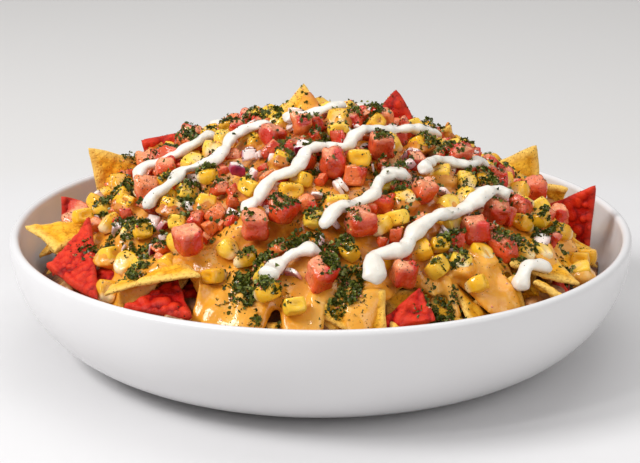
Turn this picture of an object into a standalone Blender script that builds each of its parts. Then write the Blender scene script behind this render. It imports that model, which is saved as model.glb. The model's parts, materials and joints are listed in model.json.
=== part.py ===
"""Loaded nachos in a white coupe bowl.

A turned bowl, a heap of nachos cut round what is pushed into it, bent corn chips, tomato dice and
corn kernels set into the heap, and strands of sour cream draped over all of them.
Metres, +Z up, the origin on the table under the middle of the bowl, the served side towards -Y.
"""

import math
import random

import bmesh
import bpy
from mathutils import Matrix, Vector, noise
from mathutils.bvhtree import BVHTree

MM = 0.001
GAP = 0.00035

# Bowl
BOWL_RADIUS = 0.130
BOWL_HEIGHT = 0.049
FOOT_RADIUS = 0.084
FOOT_WIDTH = 0.005
FOOT_RECESS = 0.002
WALL = 0.004
FLOOR_TOP = 0.0065
TURN_STEPS = 44
SEAM = 0.00001
WALL_POINTS = 7
LIP_POINTS = 4

# Heap: its height falls from the peak to the shoulder by a power of the radius
PEAK = 0.096
SHOULDER_RADIUS = 0.104
SHOULDER_DROP = 0.0465
SLOPE_POWER = 1.8
SKIRT = ((0.1085, 0.044), (0.1120, 0.036), (0.1145, 0.028))
HEAP_RINGS = 12
FLAT_ENOUGH = 0.6
THIN_COVER = 0.006
CHIP_BED = 0.0025
BESIDE_CHIP = 0.12
HEAP_FOOT_POINT = 4
UNEVEN_TOP = 0.0036
UNEVEN_SKIRT = 0.0030
UNEVEN_WAVE = 0.016
NEARLY_FLAT = math.radians(1)

# Pieces
CHIP_THICKNESS = 0.0019
CHIP_CUTS = 3
CHIP_BLUNT = 0.07
TOMATO_BEVEL = 0.0011
DICE_SKEW = 0.17
DICE_TRIM = (0.86, 1.06)
TOMATO_SUNK = 0.30
KERNEL_SIZE = Vector((0.0090, 0.0066, 0.0100))
KERNEL_CAGE = 1.32
KERNEL_TAPER = 0.72
KERNEL_VARIES = 0.08
KERNEL_SUNK = 0.30
LIFT_STEP = 0.0005
SHARP = math.radians(50)
CREAM_RADIUS = 0.0029
CREAM_SPACING = 0.0050
CREAM_SUBSTEPS = 4
CREAM_BLOB = 1.3
CREAM_THIN = 0.85
CREAM_END = 0.55
BLOB_REACH = 0.12
ROUTE_STEPS = 12
SPAN_PASSES = 12
SPAN_SAG = 0.0004

# Chips: name, maize, three corners and the bulge, all in millimetres (x right, y away, z up)
CHIPS = (
    ("chip_back_left", "yellow", (-103, 30, 75), (-96, 29, 32), (-60, 48, 60), 3.0),
    ("chip_left_edge", "red", (-112, 10, 59), (-110, 3, 22), (-84, 22, 46), 2.0),
    ("chip_left_flat", "yellow", (-123, -20, 53), (-80, -8, 52), (-107, -41, 48), -1.5),
    ("chip_left_front", "red", (-110, -50, 45), (-94, -26, 61), (-84, -84, 43), 2.5),
    ("chip_front_left", "yellow", (-84, -84, 45), (-43, -94, 58), (-60, -54, 51), 3.0),
    ("chip_under_left", "red", (-47, -101, 43), (-76, -90, 43), (-54, -76, 51), 1.0),
    ("chip_front", "yellow", (25, -98, 55), (25, -112, 33), (-8, -101, 48), 2.5),
    ("chip_front_right", "red", (37, -97, 55), (43, -108, 45), (14, -102, 37), 2.0),
    ("chip_right_under", "yellow", (80, -80, 50), (93, -85, 43), (84, -56, 40), 1.5),
    ("chip_right_fold", "yellow", (101, -68, 45), (72, -70, 55), (92, -38, 52), 2.5),
    ("chip_right", "red", (117, 5, 65), (114, 2, 28), (86, 20, 46), 2.5),
    ("chip_right_small", "yellow", (97, 28, 57), (109, 30, 55), (104, 44, 34), 1.0),
    ("chip_back_right", "yellow", (95, 35, 75), (59, 24, 63), (97, 30, 34), 2.5),
    ("chip_crest_right", "red", (32, 20, 103), (8, 16, 80), (54, 18, 66), 2.5),
    ("chip_crest_left", "yellow", (-7, 25, 104), (-33, 2, 78), (14, -2, 76), 2.5),
    ("chip_shoulder_left", "red", (-79, 27, 78), (-40, 31, 84), (-70, 25, 44), 2.0),
    ("chip_shoulder_right", "yellow", (56, 28, 85), (42, 33, 74), (60, 38, 66), 1.0),
    ("chip_rear_right", "yellow", (52, 100, 62), (88, 72, 50), (48, 66, 42), 3.0),
    ("chip_rear", "red", (-6, 112, 60), (26, 98, 40), (-22, 76, 52), 2.5),
    ("chip_rear_left", "yellow", (-58, 98, 60), (-28, 106, 42), (-52, 66, 40), 2.5),
    ("chip_rear_corner", "red", (-92, 72, 57), (-100, 40, 38), (-62, 76, 34), 2.5),
)

# Tomato dice: plan place, edge, turn and tip, in millimetres and degrees
TOMATOES = (
    (-105, -5, 9.0, 20, 25),
    (-75, 15, 9.0, 35, 20),
    (-63, -18, 9.0, 10, 15),
    (-70, -30, 10.0, 28, 18),
    (-50, -80, 11.0, 25, 14),
    (-55, 20, 10.0, 15, 20),
    (-20, -22, 9.5, 40, 25),
    (-8, -18, 8.5, 20, 15),
    (5, -45, 10.0, 20, 20),
    (25, -30, 10.0, 10, 12),
    (25, 5, 9.5, 10, 15),
    (40, -50, 10.0, 30, 25),
    (0, -95, 11.0, 38, 25),
    (31, -91, 9.5, 25, 14),
    (60, -60, 10.0, 20, 15),
    (70, -45, 10.0, 35, 20),
    (90, 5, 9.5, 25, 15),
    (100, -5, 8.5, 40, 20),
    (-25, -75, 10.5, 15, 20),
    (-15, -70, 10.0, 50, 18),
    (15, -75, 11.0, 25, 22),
)

# Corn kernels: plan place, turn and tip, in millimetres and degrees
KERNELS = (
    (-98, -22, 30, 70),
    (-90, -12, 60, 80),
    (-70, -55, 20, 60),
    (-45, -40, 75, 85),
    (15, -40, 0, 80),
    (-20, -100, 65, 70),
    (-10, -105, 20, 55),
)

# Sour cream: each strand's route in plan, in millimetres, from its blob upwards
STRANDS = (
    ("cream_left", ((-77, -15), (-70, -10), (-60, -10), (-50, -5), (-45, 5))),
    ("cream_middle_left", ((-70, -45), (-60, -40), (-55, -30), (-45, -30), (-40, -25), (-35, -15),
                           (-20, -10))),
    ("cream_middle", ((-30, -70), (-25, -65), (-20, -55), (-10, -50), (-5, -40), (5, -35), (10, -35),
                      (15, -25), (25, -15), (40, -5), (50, 5))),
    ("cream_crest", ((-15, -10), (-10, -5), (-5, -5), (5, 0), (10, 5))),
    ("cream_centre", ((0, -80), (5, -75), (15, -65), (20, -60), (25, -50), (35, -45))),
    ("cream_upper_right", ((40, -45), (45, -30), (50, -25), (60, -20), (65, -10), (70, -10))),
    ("cream_dab", ((-20, -100), (-15, -90), (-5, -85), (0, -85))),
    ("cream_front", ((20, -100), (20, -90), (30, -85), (35, -75), (45, -65), (55, -55), (65, -45),
                     (75, -40))),
    ("cream_right", ((75, -80), (80, -70), (90, -65))),
)


def mound_height(x, y):
    """Height of the heap's smooth surface over a place in plan."""
    share = math.hypot(x, y) / SHOULDER_RADIUS
    return PEAK - SHOULDER_DROP * share**SLOPE_POWER


def wall_point(angle, inset, bottom):
    """A point of the bowl's curved wall: 0 at the foot, a quarter turn at the rim."""
    lip = BOWL_HEIGHT - WALL / 2
    radius = FOOT_RADIUS - inset + (BOWL_RADIUS - FOOT_RADIUS) * math.sin(angle)
    return radius, bottom + (lip - bottom) * (1 - math.cos(angle))


def quarter(count):
    """Angles from the foot to the rim."""
    return [math.pi / 2 * i / count for i in range(count + 1)]


def collection(name):
    made = bpy.data.collections.new(name)
    bpy.context.scene.collection.children.link(made)
    return made


def material(name, colour, roughness):
    made = bpy.data.materials.new(name)
    made.use_nodes = True
    shader = made.node_tree.nodes["Principled BSDF"]
    shader.inputs["Base Color"].default_value = (*colour, 1)
    shader.inputs["Roughness"].default_value = roughness
    shader.inputs["Metallic"].default_value = 0
    return made


def add_object(name, data, group, finish=None):
    made = bpy.data.objects.new(name, data)
    group.objects.link(made)
    if finish:
        data.materials.append(finish)
    return made


def mesh_from(builder, name):
    """A mesh made by a function that fills a bmesh."""
    shape = bmesh.new()
    builder(shape)
    mesh = bpy.data.meshes.new(name)
    shape.to_mesh(mesh)
    shape.free()
    return mesh


def settled_mesh(obj):
    """The object's mesh with its modifiers applied."""
    bpy.context.view_layer.update()
    graph = bpy.context.evaluated_depsgraph_get()
    return bpy.data.meshes.new_from_object(obj.evaluated_get(graph))


def turned(name, profile, group, finish):
    """A body turned from a profile of (radius, height) that starts and ends on the axis."""
    mesh = bpy.data.meshes.new(name)
    points = [(radius, 0, height) for radius, height in profile]
    mesh.from_pydata(points, [(i, i + 1) for i in range(len(points) - 1)], [])
    made = add_object(name, mesh, group, finish)
    screw = made.modifiers.new("Turn", "SCREW")
    screw.steps = TURN_STEPS
    screw.render_steps = TURN_STEPS
    screw.use_merge_vertices = True
    screw.merge_threshold = SEAM
    return made


def bowl_profile():
    inner = [wall_point(a, WALL, FLOOR_TOP) for a in quarter(WALL_POINTS)]
    lip_centre = BOWL_RADIUS - WALL / 2
    lip = []
    for i in range(1, LIP_POINTS):
        angle = math.pi * (1 - i / LIP_POINTS)
        lip.append((lip_centre + WALL / 2 * math.cos(angle),
                    BOWL_HEIGHT - WALL / 2 + WALL / 2 * math.sin(angle)))
    outer = [wall_point(a, 0, 0) for a in reversed(quarter(WALL_POINTS))]
    foot_inside = FOOT_RADIUS - FOOT_WIDTH
    foot = [(foot_inside, 0), (foot_inside - FOOT_RECESS, FOOT_RECESS), (0, FOOT_RECESS)]
    return [(0, FLOOR_TOP)] + inner + lip + outer + foot


def heap_profile():
    top = []
    for i in range(HEAP_RINGS + 1):
        radius = SHOULDER_RADIUS * i / HEAP_RINGS
        top.append((radius, mound_height(radius, 0)))
    angles = reversed(quarter(WALL_POINTS)[:HEAP_FOOT_POINT + 1])
    under = [wall_point(a, WALL + GAP, FLOOR_TOP + GAP) for a in angles]
    return top + list(SKIRT) + under + [(0, FLOOR_TOP + GAP)]


def heap_blank(group):
    """The heap before anything is pushed in: turned, then made uneven above the bowl's wall."""
    smooth = turned("heap_blank", heap_profile(), group, None)
    mesh = settled_mesh(smooth)
    bpy.data.objects.remove(smooth)
    lowest = SKIRT[-1][1] - MM
    for vertex in mesh.vertices:
        place = vertex.co
        if place.z < lowest:
            continue
        wave = noise.noise(Vector((place.x, place.y, 0)) / UNEVEN_WAVE)
        radius = math.hypot(place.x, place.y)
        if radius > SHOULDER_RADIUS - MM:
            push = 1 + UNEVEN_SKIRT * wave / radius
            vertex.co = Vector((place.x * push, place.y * push, place.z))
        else:
            vertex.co.z += UNEVEN_TOP * wave
    press_flat_chips(mesh)
    return mesh


def press_flat_chips(mesh):
    """Lowers the heap under the chips that lie on it, so that no crumb of heap is left on top of them."""
    for _, _, first, second, third, _ in CHIPS:
        corners = [Vector(corner) * MM for corner in (first, second, third)]
        normal = (corners[1] - corners[0]).cross(corners[2] - corners[0]).normalized()
        if abs(normal.z) < FLAT_ENOUGH:
            continue
        for vertex in mesh.vertices:
            place = vertex.co
            if min(weights_at(place, corners)) < -BESIDE_CHIP:
                continue
            fall = normal.x * (place.x - corners[0].x) + normal.y * (place.y - corners[0].y)
            chip_height = corners[0].z - fall / normal.z
            under = chip_height - CHIP_BED
            if under < place.z < chip_height + THIN_COVER:
                vertex.co.z = under


def weights_at(place, corners):
    """Barycentric weights of a plan place in the triangle that the corners make in plan."""
    (ax, ay), (bx, by), (cx, cy) = ((corner.x, corner.y) for corner in corners)
    area = (by - cy) * (ax - cx) + (cx - bx) * (ay - cy)
    first = ((by - cy) * (place.x - cx) + (cx - bx) * (place.y - cy)) / area
    second = ((cy - ay) * (place.x - cx) + (ax - cx) * (place.y - cy)) / area
    return first, second, 1 - first - second


def chip_surface(corners, bulge, grow):
    """A triangular sheet between three corners, blunt at the tips and bulging along its normal."""
    middle = sum(corners, Vector()) / 3
    corners = [corner + (corner - middle).normalized() * 2 * grow for corner in corners]
    normal = (corners[1] - corners[0]).cross(corners[2] - corners[0]).normalized()

    def build(shape):
        bmesh.ops.create_circle(shape, segments=3, radius=1, cap_ends=True)
        directions = [vertex.co.copy() for vertex in shape.verts]
        bmesh.ops.subdivide_edges(shape, edges=shape.edges[:], cuts=CHIP_CUTS, use_grid_fill=True)
        bmesh.ops.triangulate(shape, faces=shape.faces[:])
        for vertex in shape.verts:
            weights = [(1 + 2 * vertex.co.dot(direction)) / 3 for direction in directions]
            if max(weights) > 0.999:
                weights = [weight * (1 - CHIP_BLUNT) + CHIP_BLUNT / 3 for weight in weights]
            spread = sum((weight - 1 / 3) ** 2 for weight in weights)
            flat = sum((corner * weight for corner, weight in zip(corners, weights)), Vector())
            vertex.co = flat + normal * bulge * (1 - 1.5 * spread)

    return build


def chip(name, corners, bulge, grow, group, finish=None):
    corners = [Vector(corner) * MM for corner in corners]
    made = add_object(name, mesh_from(chip_surface(corners, bulge * MM, grow), name), group, finish)
    thick = made.modifiers.new("Thickness", "SOLIDIFY")
    thick.thickness = CHIP_THICKNESS + 2 * grow
    thick.offset = 0
    return made


def dice_mesh(name, edge, seed, grow):
    """A hand-cut dice: a block trimmed by six cuts that are a little askew."""
    draw = random.Random(seed)
    ways = [Vector(way) * side for way in ((1, 0, 0), (0, 1, 0), (0, 0, 1)) for side in (-1, 1)]

    def build(shape):
        bmesh.ops.create_cube(shape, size=3 * edge)
        for way in ways:
            askew = Vector([draw.uniform(-DICE_SKEW, DICE_SKEW) for _ in range(3)])
            cut_at = way * (edge / 2 * draw.uniform(*DICE_TRIM) + grow)
            parts = shape.verts[:] + shape.edges[:] + shape.faces[:]
            cut = bmesh.ops.bisect_plane(shape, geom=parts, plane_co=cut_at,
                                         plane_no=(way + askew).normalized(), clear_outer=True)
            rim = [part for part in cut["geom_cut"] if isinstance(part, bmesh.types.BMEdge)]
            bmesh.ops.edgeloop_fill(shape, edges=rim)
        bmesh.ops.recalc_face_normals(shape, faces=shape.faces[:])

    return mesh_from(build, name)


def kernel_mesh(name, seed):
    """A corn kernel's cage: a block that narrows to the tip it grew from."""
    draw = random.Random(seed)
    size = KERNEL_SIZE * draw.uniform(1 - KERNEL_VARIES, 1 + KERNEL_VARIES)

    def build(shape):
        bmesh.ops.create_cube(shape, size=KERNEL_CAGE)
        for vertex in shape.verts:
            taper = KERNEL_TAPER if vertex.co.z < 0 else 1.0
            shift = draw.uniform(1 - KERNEL_VARIES / 2, 1 + KERNEL_VARIES / 2)
            vertex.co = Vector((vertex.co.x * size.x * taper * shift,
                                vertex.co.y * size.y * taper,
                                vertex.co.z * size.z))

    return mesh_from(build, name)


def top_at(surface, x, y):
    """The highest point of a surface over a place in plan."""
    hit = surface.ray_cast(Vector((x, y, 1)), Vector((0, 0, -1)))
    return hit[0].z if hit[0] else None


def tomato(name, row, seed, grow, group, finish=None):
    """A tomato dice; its seat cutter is a little larger and keeps sharp edges."""
    made = add_object(name, dice_mesh(name, row[2] * MM, seed, grow), group, finish)
    if grow:
        return made
    round_off = made.modifiers.new("Edges", "BEVEL")
    round_off.width = TOMATO_BEVEL
    round_off.segments = 1
    round_off.limit_method = "NONE"
    return made


def kernel(name, row, seed, grow, group, finish=None):
    made = add_object(name, kernel_mesh(name, seed), group, finish)
    made.data.transform(Matrix.Scale(1 + 2 * grow / (0.7 * KERNEL_SIZE.y), 4))
    rounding = made.modifiers.new("Rounding", "SUBSURF")
    rounding.levels = 1
    rounding.render_levels = 1
    return made


def surface_of(objects):
    """One ray-castable surface made of the evaluated meshes of several objects."""
    bpy.context.view_layer.update()
    graph = bpy.context.evaluated_depsgraph_get()
    points, faces = [], []
    for obj in objects:
        evaluated = obj.evaluated_get(graph)
        mesh = evaluated.to_mesh()
        start = len(points)
        points += [obj.matrix_world @ vertex.co for vertex in mesh.vertices]
        faces += [[start + index for index in face.vertices] for face in mesh.polygons]
        evaluated.to_mesh_clear()
    return BVHTree.FromPolygons(points, faces)


def largest_body(shape):
    """Keeps the largest connected body of a bmesh and deletes the crumbs that a cut leaves."""
    waiting = set(shape.verts)
    bodies = []
    while waiting:
        body = {waiting.pop()}
        edge_of_body = list(body)
        while edge_of_body:
            vertex = edge_of_body.pop()
            near = {edge.other_vert(vertex) for edge in vertex.link_edges} - body
            body |= near
            edge_of_body += near
        waiting -= body
        bodies.append(body)
    bodies.sort(key=len)
    for body in bodies[:-1]:
        bmesh.ops.delete(shape, geom=list(body), context="VERTS")


def cut_heap(mesh, cutters, group, finish):
    """The heap with a seat cut for every piece that is pushed into it."""
    rough = add_object("heap_rough", mesh, group)
    cut = rough.modifiers.new("Seats", "BOOLEAN")
    cut.operation = "DIFFERENCE"
    cut.operand_type = "COLLECTION"
    cut.collection = cutters
    cut.solver = "EXACT"
    shape = bmesh.new()
    shape.from_mesh(settled_mesh(rough))
    bpy.data.objects.remove(rough)
    bmesh.ops.dissolve_limit(shape, angle_limit=NEARLY_FLAT, verts=shape.verts[:],
                             edges=shape.edges[:])
    bmesh.ops.triangulate(shape, faces=shape.faces[:])
    largest_body(shape)
    whole = bpy.data.meshes.new("nacho_heap")
    shape.to_mesh(whole)
    shape.free()
    return add_object("nacho_heap", whole, group, finish)


def hide_cutter(obj):
    obj.hide_render = True
    obj.display_type = "WIRE"


def smooth_route(points, spacing):
    """Plan points at an even spacing along a smooth curve through hand-set points."""
    points = [Vector(point) * MM for point in points]
    ends = [points[0] * 2 - points[1]] + points + [points[-1] * 2 - points[-2]]
    dense = []
    for a, b, c, d in zip(ends, ends[1:], ends[2:], ends[3:]):
        for i in range(ROUTE_STEPS):
            t = i / ROUTE_STEPS
            dense.append(0.5 * (2 * b + (c - a) * t + (2 * a - 5 * b + 4 * c - d) * t**2
                                + (3 * b - a - 3 * c + d) * t**3))
    dense.append(points[-1])
    length = sum((q - p).length for p, q in zip(dense, dense[1:]))
    count = max(2, round(length / spacing))
    even, walked, target = [dense[0]], 0.0, length / count
    for p, q in zip(dense, dense[1:]):
        step = (q - p).length
        while walked + step >= target and len(even) < count:
            even.append(p.lerp(q, (target - walked) / step))
            target += length / count
        walked += step
    return even + [dense[-1]]


def rest_height(surface, x, y, radius):
    """Height of a ball's centre where it comes to rest on the surface at a plan place."""
    heights = []
    for share, count in ((0.0, 1), (0.5, 6), (0.85, 8)):
        for i in range(count):
            angle = 2 * math.pi * i / count
            reach = radius * share
            top = top_at(surface, x + reach * math.cos(angle), y + reach * math.sin(angle))
            if top is not None:
                heights.append(top + math.sqrt(radius**2 - reach**2))
    return max(heights)


def spanned(needs):
    """Heights no lower than needed that span the dips between high points, with a little sag."""
    heights = list(needs)
    for _ in range(SPAN_PASSES):
        middles = [(a + b) / 2 - SPAN_SAG for a, b in zip(heights, heights[2:])]
        inner = [max(need, middle) for need, middle in zip(needs[1:-1], middles)]
        heights[1:-1] = inner
    return heights


def draped(route, surface, radii):
    """A plan route lifted onto the surface, high enough for the straight runs between its points."""
    balls = [radius + GAP for radius in radii]
    needs = [rest_height(surface, point.x, point.y, ball) for point, ball in zip(route, balls)]
    heights = spanned(needs)
    lifts = [0.0] * len(route)
    for i, (start, end) in enumerate(zip(route, route[1:])):
        for step in range(1, CREAM_SUBSTEPS):
            share = step / CREAM_SUBSTEPS
            between = start.lerp(end, share)
            ball = balls[i] * (1 - share) + balls[i + 1] * share
            needed = rest_height(surface, between.x, between.y, ball)
            missing = needed - heights[i] * (1 - share) - heights[i + 1] * share
            lifts[i] = max(lifts[i], missing)
            lifts[i + 1] = max(lifts[i + 1], missing)
    return [Vector((point.x, point.y, height + lift))
            for point, height, lift in zip(route, heights, lifts)]


def strand_swell(count):
    """Thickness along a strand: a blob near the start, thinner after it, drawn in at both ends."""
    swell = []
    for i in range(count):
        from_start = i / (count - 1)
        blob = math.exp(-((from_start / BLOB_REACH - CREAM_THIN) ** 2))
        swell.append(CREAM_THIN + (CREAM_BLOB - CREAM_THIN) * blob)
    swell[0] = swell[-1] = CREAM_END
    return swell


def cream_strand(name, route, surface, group, finish):
    """A strand of sour cream: a tube along its draped route, with a blob where it was started."""
    places = smooth_route(route, CREAM_SPACING)
    swell = strand_swell(len(places))
    points = draped(places, surface, [CREAM_RADIUS * max(share, CREAM_THIN) for share in swell])
    curve = bpy.data.curves.new(name, "CURVE")
    curve.dimensions = "3D"
    curve.bevel_depth = CREAM_RADIUS
    curve.bevel_resolution = 1
    curve.use_fill_caps = True
    spline = curve.splines.new("POLY")
    spline.points.add(len(points) - 1)
    for target, point, share in zip(spline.points, points, swell):
        target.co = (*point, 1)
        target.radius = share
    return add_object(name, curve, group, finish)


def finishes():
    return {
        "bowl": material("bowl_glaze", (0.86, 0.86, 0.85), 0.20),
        "heap": material("cheese_heap", (0.85, 0.42, 0.08), 0.45),
        "yellow": material("yellow_chip", (0.83, 0.53, 0.14), 0.70),
        "red": material("red_chip", (0.62, 0.04, 0.03), 0.65),
        "tomato": material("tomato_flesh", (0.75, 0.12, 0.06), 0.30),
        "corn": material("corn_kernel", (0.93, 0.60, 0.05), 0.35),
        "cream": material("sour_cream", (0.93, 0.92, 0.89), 0.35),
    }


def make_chips(group, cutters, finish):
    made = []
    for name, maize, first, second, third, bulge in CHIPS:
        corners = (first, second, third)
        hide_cutter(chip("seat_" + name, corners, bulge, GAP, cutters))
        made.append(chip(name, corners, bulge, 0, group, finish[maize]))
    return made


def seat_height(cutter, surface, chips, row, lift):
    """Height at which a piece is set into the heap, raised until it clears the chips."""
    x, y, turn, tip = row
    height = top_at(surface, x * MM, y * MM) + lift
    turned_to = Matrix.Rotation(math.radians(turn), 4, "Z") @ Matrix.Rotation(math.radians(tip), 4, "X")
    while True:
        cutter.matrix_world = Matrix.Translation((x * MM, y * MM, height)) @ turned_to
        if not surface_of([cutter]).overlap(chips):
            return cutter.matrix_world.copy()
        height += LIFT_STEP


def make_set_in(kind, rows, surface, chips, group, cutters, finish):
    """Tomato dice or corn kernels, each with the cutter of its seat in the heap."""
    make, sunk = {"tomato": (tomato, TOMATO_SUNK), "kernel": (kernel, KERNEL_SUNK)}[kind]
    made = []
    for i, row in enumerate(rows):
        name = f"{kind}_{i + 1:02}"
        across = row[2] * MM if kind == "tomato" else KERNEL_SIZE.z
        cutter = make("seat_" + name, row, i, GAP, cutters)
        hide_cutter(cutter)
        place = (row[0], row[1], row[-2], row[-1])
        seat = seat_height(cutter, surface, chips, place, across * (0.5 - sunk))
        piece = make(name, row, i, 0, group, finish)
        piece.matrix_world = seat
        made.append(piece)
    return made


def shade(group):
    for obj in group.objects:
        if obj.type == "MESH":
            obj.data.shade_smooth()
            obj.data.set_sharp_from_angle(angle=SHARP)


def main():
    for obj in list(bpy.data.objects):
        bpy.data.objects.remove(obj)
    group = collection("nachos")
    cutters = collection("seat_cutters")
    finish = finishes()
    turned("bowl", bowl_profile(), group, finish["bowl"])
    blank = heap_blank(group)
    surface = BVHTree.FromPolygons([vertex.co.copy() for vertex in blank.vertices],
                                   [list(face.vertices) for face in blank.polygons])
    pieces = make_chips(group, cutters, finish)
    chips = surface_of(pieces)
    pieces += make_set_in("tomato", TOMATOES, surface, chips, group, cutters, finish["tomato"])
    pieces += make_set_in("kernel", KERNELS, surface, chips, group, cutters, finish["corn"])
    heap = cut_heap(blank, cutters, group, finish["heap"])
    laid = surface_of([heap] + pieces)
    for name, route in STRANDS:
        cream_strand(name, route, laid, group, finish["cream"])
    shade(group)


main()
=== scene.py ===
"""Visual model of loaded nachos in a white coupe bowl.

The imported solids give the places: the bowl is turned again more finely, every chip, tomato dice and
corn kernel is made again over its solid, and the heap is replaced by what it stands for: melted
cheese over chips and beans, with kernels, dice, onion, herbs, crumbs and strands of sour cream.
Lengths in the tables are in millimetres, x to the right, y away from the served side, z up.
"""

import functools
import json
import math

import bmesh
import bpy
import numpy as np
from mathutils import Matrix, Vector
from mathutils.bvhtree import BVHTree


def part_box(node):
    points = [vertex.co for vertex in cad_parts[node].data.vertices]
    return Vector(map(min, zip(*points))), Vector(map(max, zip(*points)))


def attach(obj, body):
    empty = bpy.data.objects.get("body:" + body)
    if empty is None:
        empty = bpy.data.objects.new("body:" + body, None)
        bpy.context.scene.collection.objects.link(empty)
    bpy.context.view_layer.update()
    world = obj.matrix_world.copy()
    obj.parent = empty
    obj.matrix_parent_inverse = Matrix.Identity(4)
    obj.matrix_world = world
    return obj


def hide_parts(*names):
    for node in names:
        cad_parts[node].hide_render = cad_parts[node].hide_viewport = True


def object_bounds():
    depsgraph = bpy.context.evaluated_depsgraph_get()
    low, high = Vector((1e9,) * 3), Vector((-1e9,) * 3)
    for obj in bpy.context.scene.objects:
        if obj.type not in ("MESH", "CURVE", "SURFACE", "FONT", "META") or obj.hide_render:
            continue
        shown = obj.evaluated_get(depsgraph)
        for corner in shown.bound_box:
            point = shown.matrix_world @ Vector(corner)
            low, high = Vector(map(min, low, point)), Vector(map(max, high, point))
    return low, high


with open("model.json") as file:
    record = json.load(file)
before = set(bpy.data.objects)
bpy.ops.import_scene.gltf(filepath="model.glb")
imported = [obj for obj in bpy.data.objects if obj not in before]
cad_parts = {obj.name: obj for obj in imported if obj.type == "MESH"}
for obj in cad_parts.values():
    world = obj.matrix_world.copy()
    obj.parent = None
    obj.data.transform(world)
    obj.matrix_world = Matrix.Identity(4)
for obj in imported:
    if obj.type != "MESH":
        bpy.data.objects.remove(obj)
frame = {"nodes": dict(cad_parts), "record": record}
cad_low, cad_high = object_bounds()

MM = 0.001
TAU = 2 * math.pi
scene = bpy.context.scene

# Seeds of the random draws. Each zone adds its number to its own.
SEEDS = {"under_chips": 8, "beans": 31, "kernels": 12, "dice": 5, "onions": 17, "zones": 70,
         "loose": 41, "herbs": 23, "crumbs": 29, "specks": 37}
RIPPLE_WAVES = 9

# Bowl, as the solid bowl is turned
BOWL_RADIUS = cad_high.x / MM
BOWL_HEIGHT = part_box("bowl")[1].z / MM
FOOT_RADIUS = 84.0
FOOT_WIDTH = 5.0
FOOT_EDGE = 1.0
FOOT_RECESS = 2.0
WALL = 4.0
LIP_HEIGHT = BOWL_HEIGHT - WALL / 2
FLOOR_TOP = 6.5
INNERMOST = 2.0
BOWL_STEPS = 160
WALL_STEPS = 30
LIP_STEPS = 10

# Mound that the heap follows, and the ring in which it runs out into bare cheese
PEAK = 96.0
SHOULDER = 104.0
DROP = 46.5
POWER = 1.8
RIM_FROM, RIM_TO = 84, 98
FRONT_POOL = -88

# Chips: the grid's spacing with its least and most rows, how far apart a solid's points at one
# corner lie, and the mean bulge as a share of the middle's. Then for each maize the blisters on a
# side of 40, their least and most reach, their height and how grainy the skin is.
CHIP_CELL = 0.85
CHIP_ROWS = (30, 68)
CORNER_REACH = 2.3
MEAN_BULGE = 0.75
BLISTERS = {"yellow_chip": (40, 1.3, 3.0, 1.05, 0.12), "red_chip": (56, 1.2, 2.9, 1.75, 0.22)}

# Lower chips: how many, the share of a turn between two, the radius and height of their three
# rings, their sides and tilts, and the share of red ones. Each is pushed inwards and down until it
# fits, at most so many times.
UNDER_COUNT = 112
UNDER_TURN = 0.618
UNDER_RINGS = ((96, 45), (105, 43), (115, 40))
UNDER_SIDES, UNDER_TILTS = (20, 32), (15, 60)
UNDER_RED = 0.22
UNDER_PUSHES = 20
UNDER_ROWS = 16
UNDER_SEED = 100
SIDE_TO_RADIUS = 0.57

# How far the melted cheese reaches from the middle, by angle in plan (-90 is the served side)
CHEESE_EDGE = (
    (-180, 99), (-170, 97), (-160, 99), (-150, 103), (-142, 106), (-136, 113), (-130, 112),
    (-126, 98), (-121, 95), (-118, 99), (-114, 109), (-108, 114), (-103, 112), (-101.4, 110),
    (-100, 101), (-98.6, 101), (-97.6, 111), (-95.5, 112), (-93, 109), (-91, 112), (-90, 112),
    (-88.6, 101), (-86.2, 100), (-85, 110), (-82, 112), (-79, 106), (-75, 101), (-72, 93),
    (-68, 92), (-65, 101), (-62, 100), (-60, 95), (-57, 96), (-55, 107), (-54, 110), (-50, 113),
    (-46.5, 111), (-45, 99), (-40, 95), (-37, 97), (-34, 106), (-30, 110), (-24, 108), (-16, 106),
    (-8, 109), (0, 104), (10, 100), (20, 96), (32, 103), (44, 109), (55, 101), (66, 97), (76, 102),
    (86, 108), (96, 110), (104, 103), (112, 96), (122, 100), (132, 107), (142, 108), (150, 99),
    (160, 95), (170, 100),
)
CHEESE_RINGS, CHEESE_SPOKES = 120, 480
CHEESE_SINK = 2.2
CHEESE_THICK = 6.0
CHEESE_UNSEEN = 6.5
CHEESE_VOXEL = 1.05
CHEESE_SMOOTH = 7
# How much the cheese is darkened where toppings lie: a reddish tomato juice stain and painted shade
# between the toppings
JUICE_AND_SHADE = 0.9

# Cheese drips: angle in plan, start radius, length down the heap, width at the top and at the foot
DRIPS = (
    (-116, 99, 15, 4.6, 6.5), (-107, 101, 13, 5.5, 6.0), (-97, 98, 14, 3.4, 3.0),
    (-91.5, 99, 13, 4.2, 4.6), (-83.5, 97, 15, 4.4, 5.0), (-61, 97, 13, 5.0, 5.5),
    (-50.5, 98, 15, 4.5, 5.0), (-132, 100, 12, 5.0, 5.0), (-31, 98, 14, 4.6, 4.4),
    (-20, 99, 10, 4.0, 4.5), (-8, 99, 9, 3.6, 4.2), (44, 100, 12, 4.6, 5.0), (88, 100, 11, 4.4, 4.8),
    (98, 99, 12, 4.0, 3.6), (134, 99, 11, 5.0, 4.6), (142, 98, 9, 3.6, 4.4), (32, 97, 8, 3.4, 3.6),
    (-42, 95, 14, 2.6, 2.8),
)
DRIP_BALLS = 12

# Cheese over pieces that it covers: plan place and reach
COATS = (
    (-47, -88, 12), (-38, -92, 12), (-56, -73, 14), (-70, -72, 12), (-82, -72, 9), (74, -66, 14),
    (84, -58, 12), (92, -48, 11), (14, -98, 12), (23, -95, 6), (25, -103, 8), (-70, 30, 10),
    (0, 12, 14), (40, 26, 12), (60, 26, 12), (88, 20, 12), (50, 82, 12), (0, 92, 14), (-48, 86, 13),
    (-78, 60, 12),
)
COAT_THICK = 1.9
COAT_RISE = 12
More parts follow.
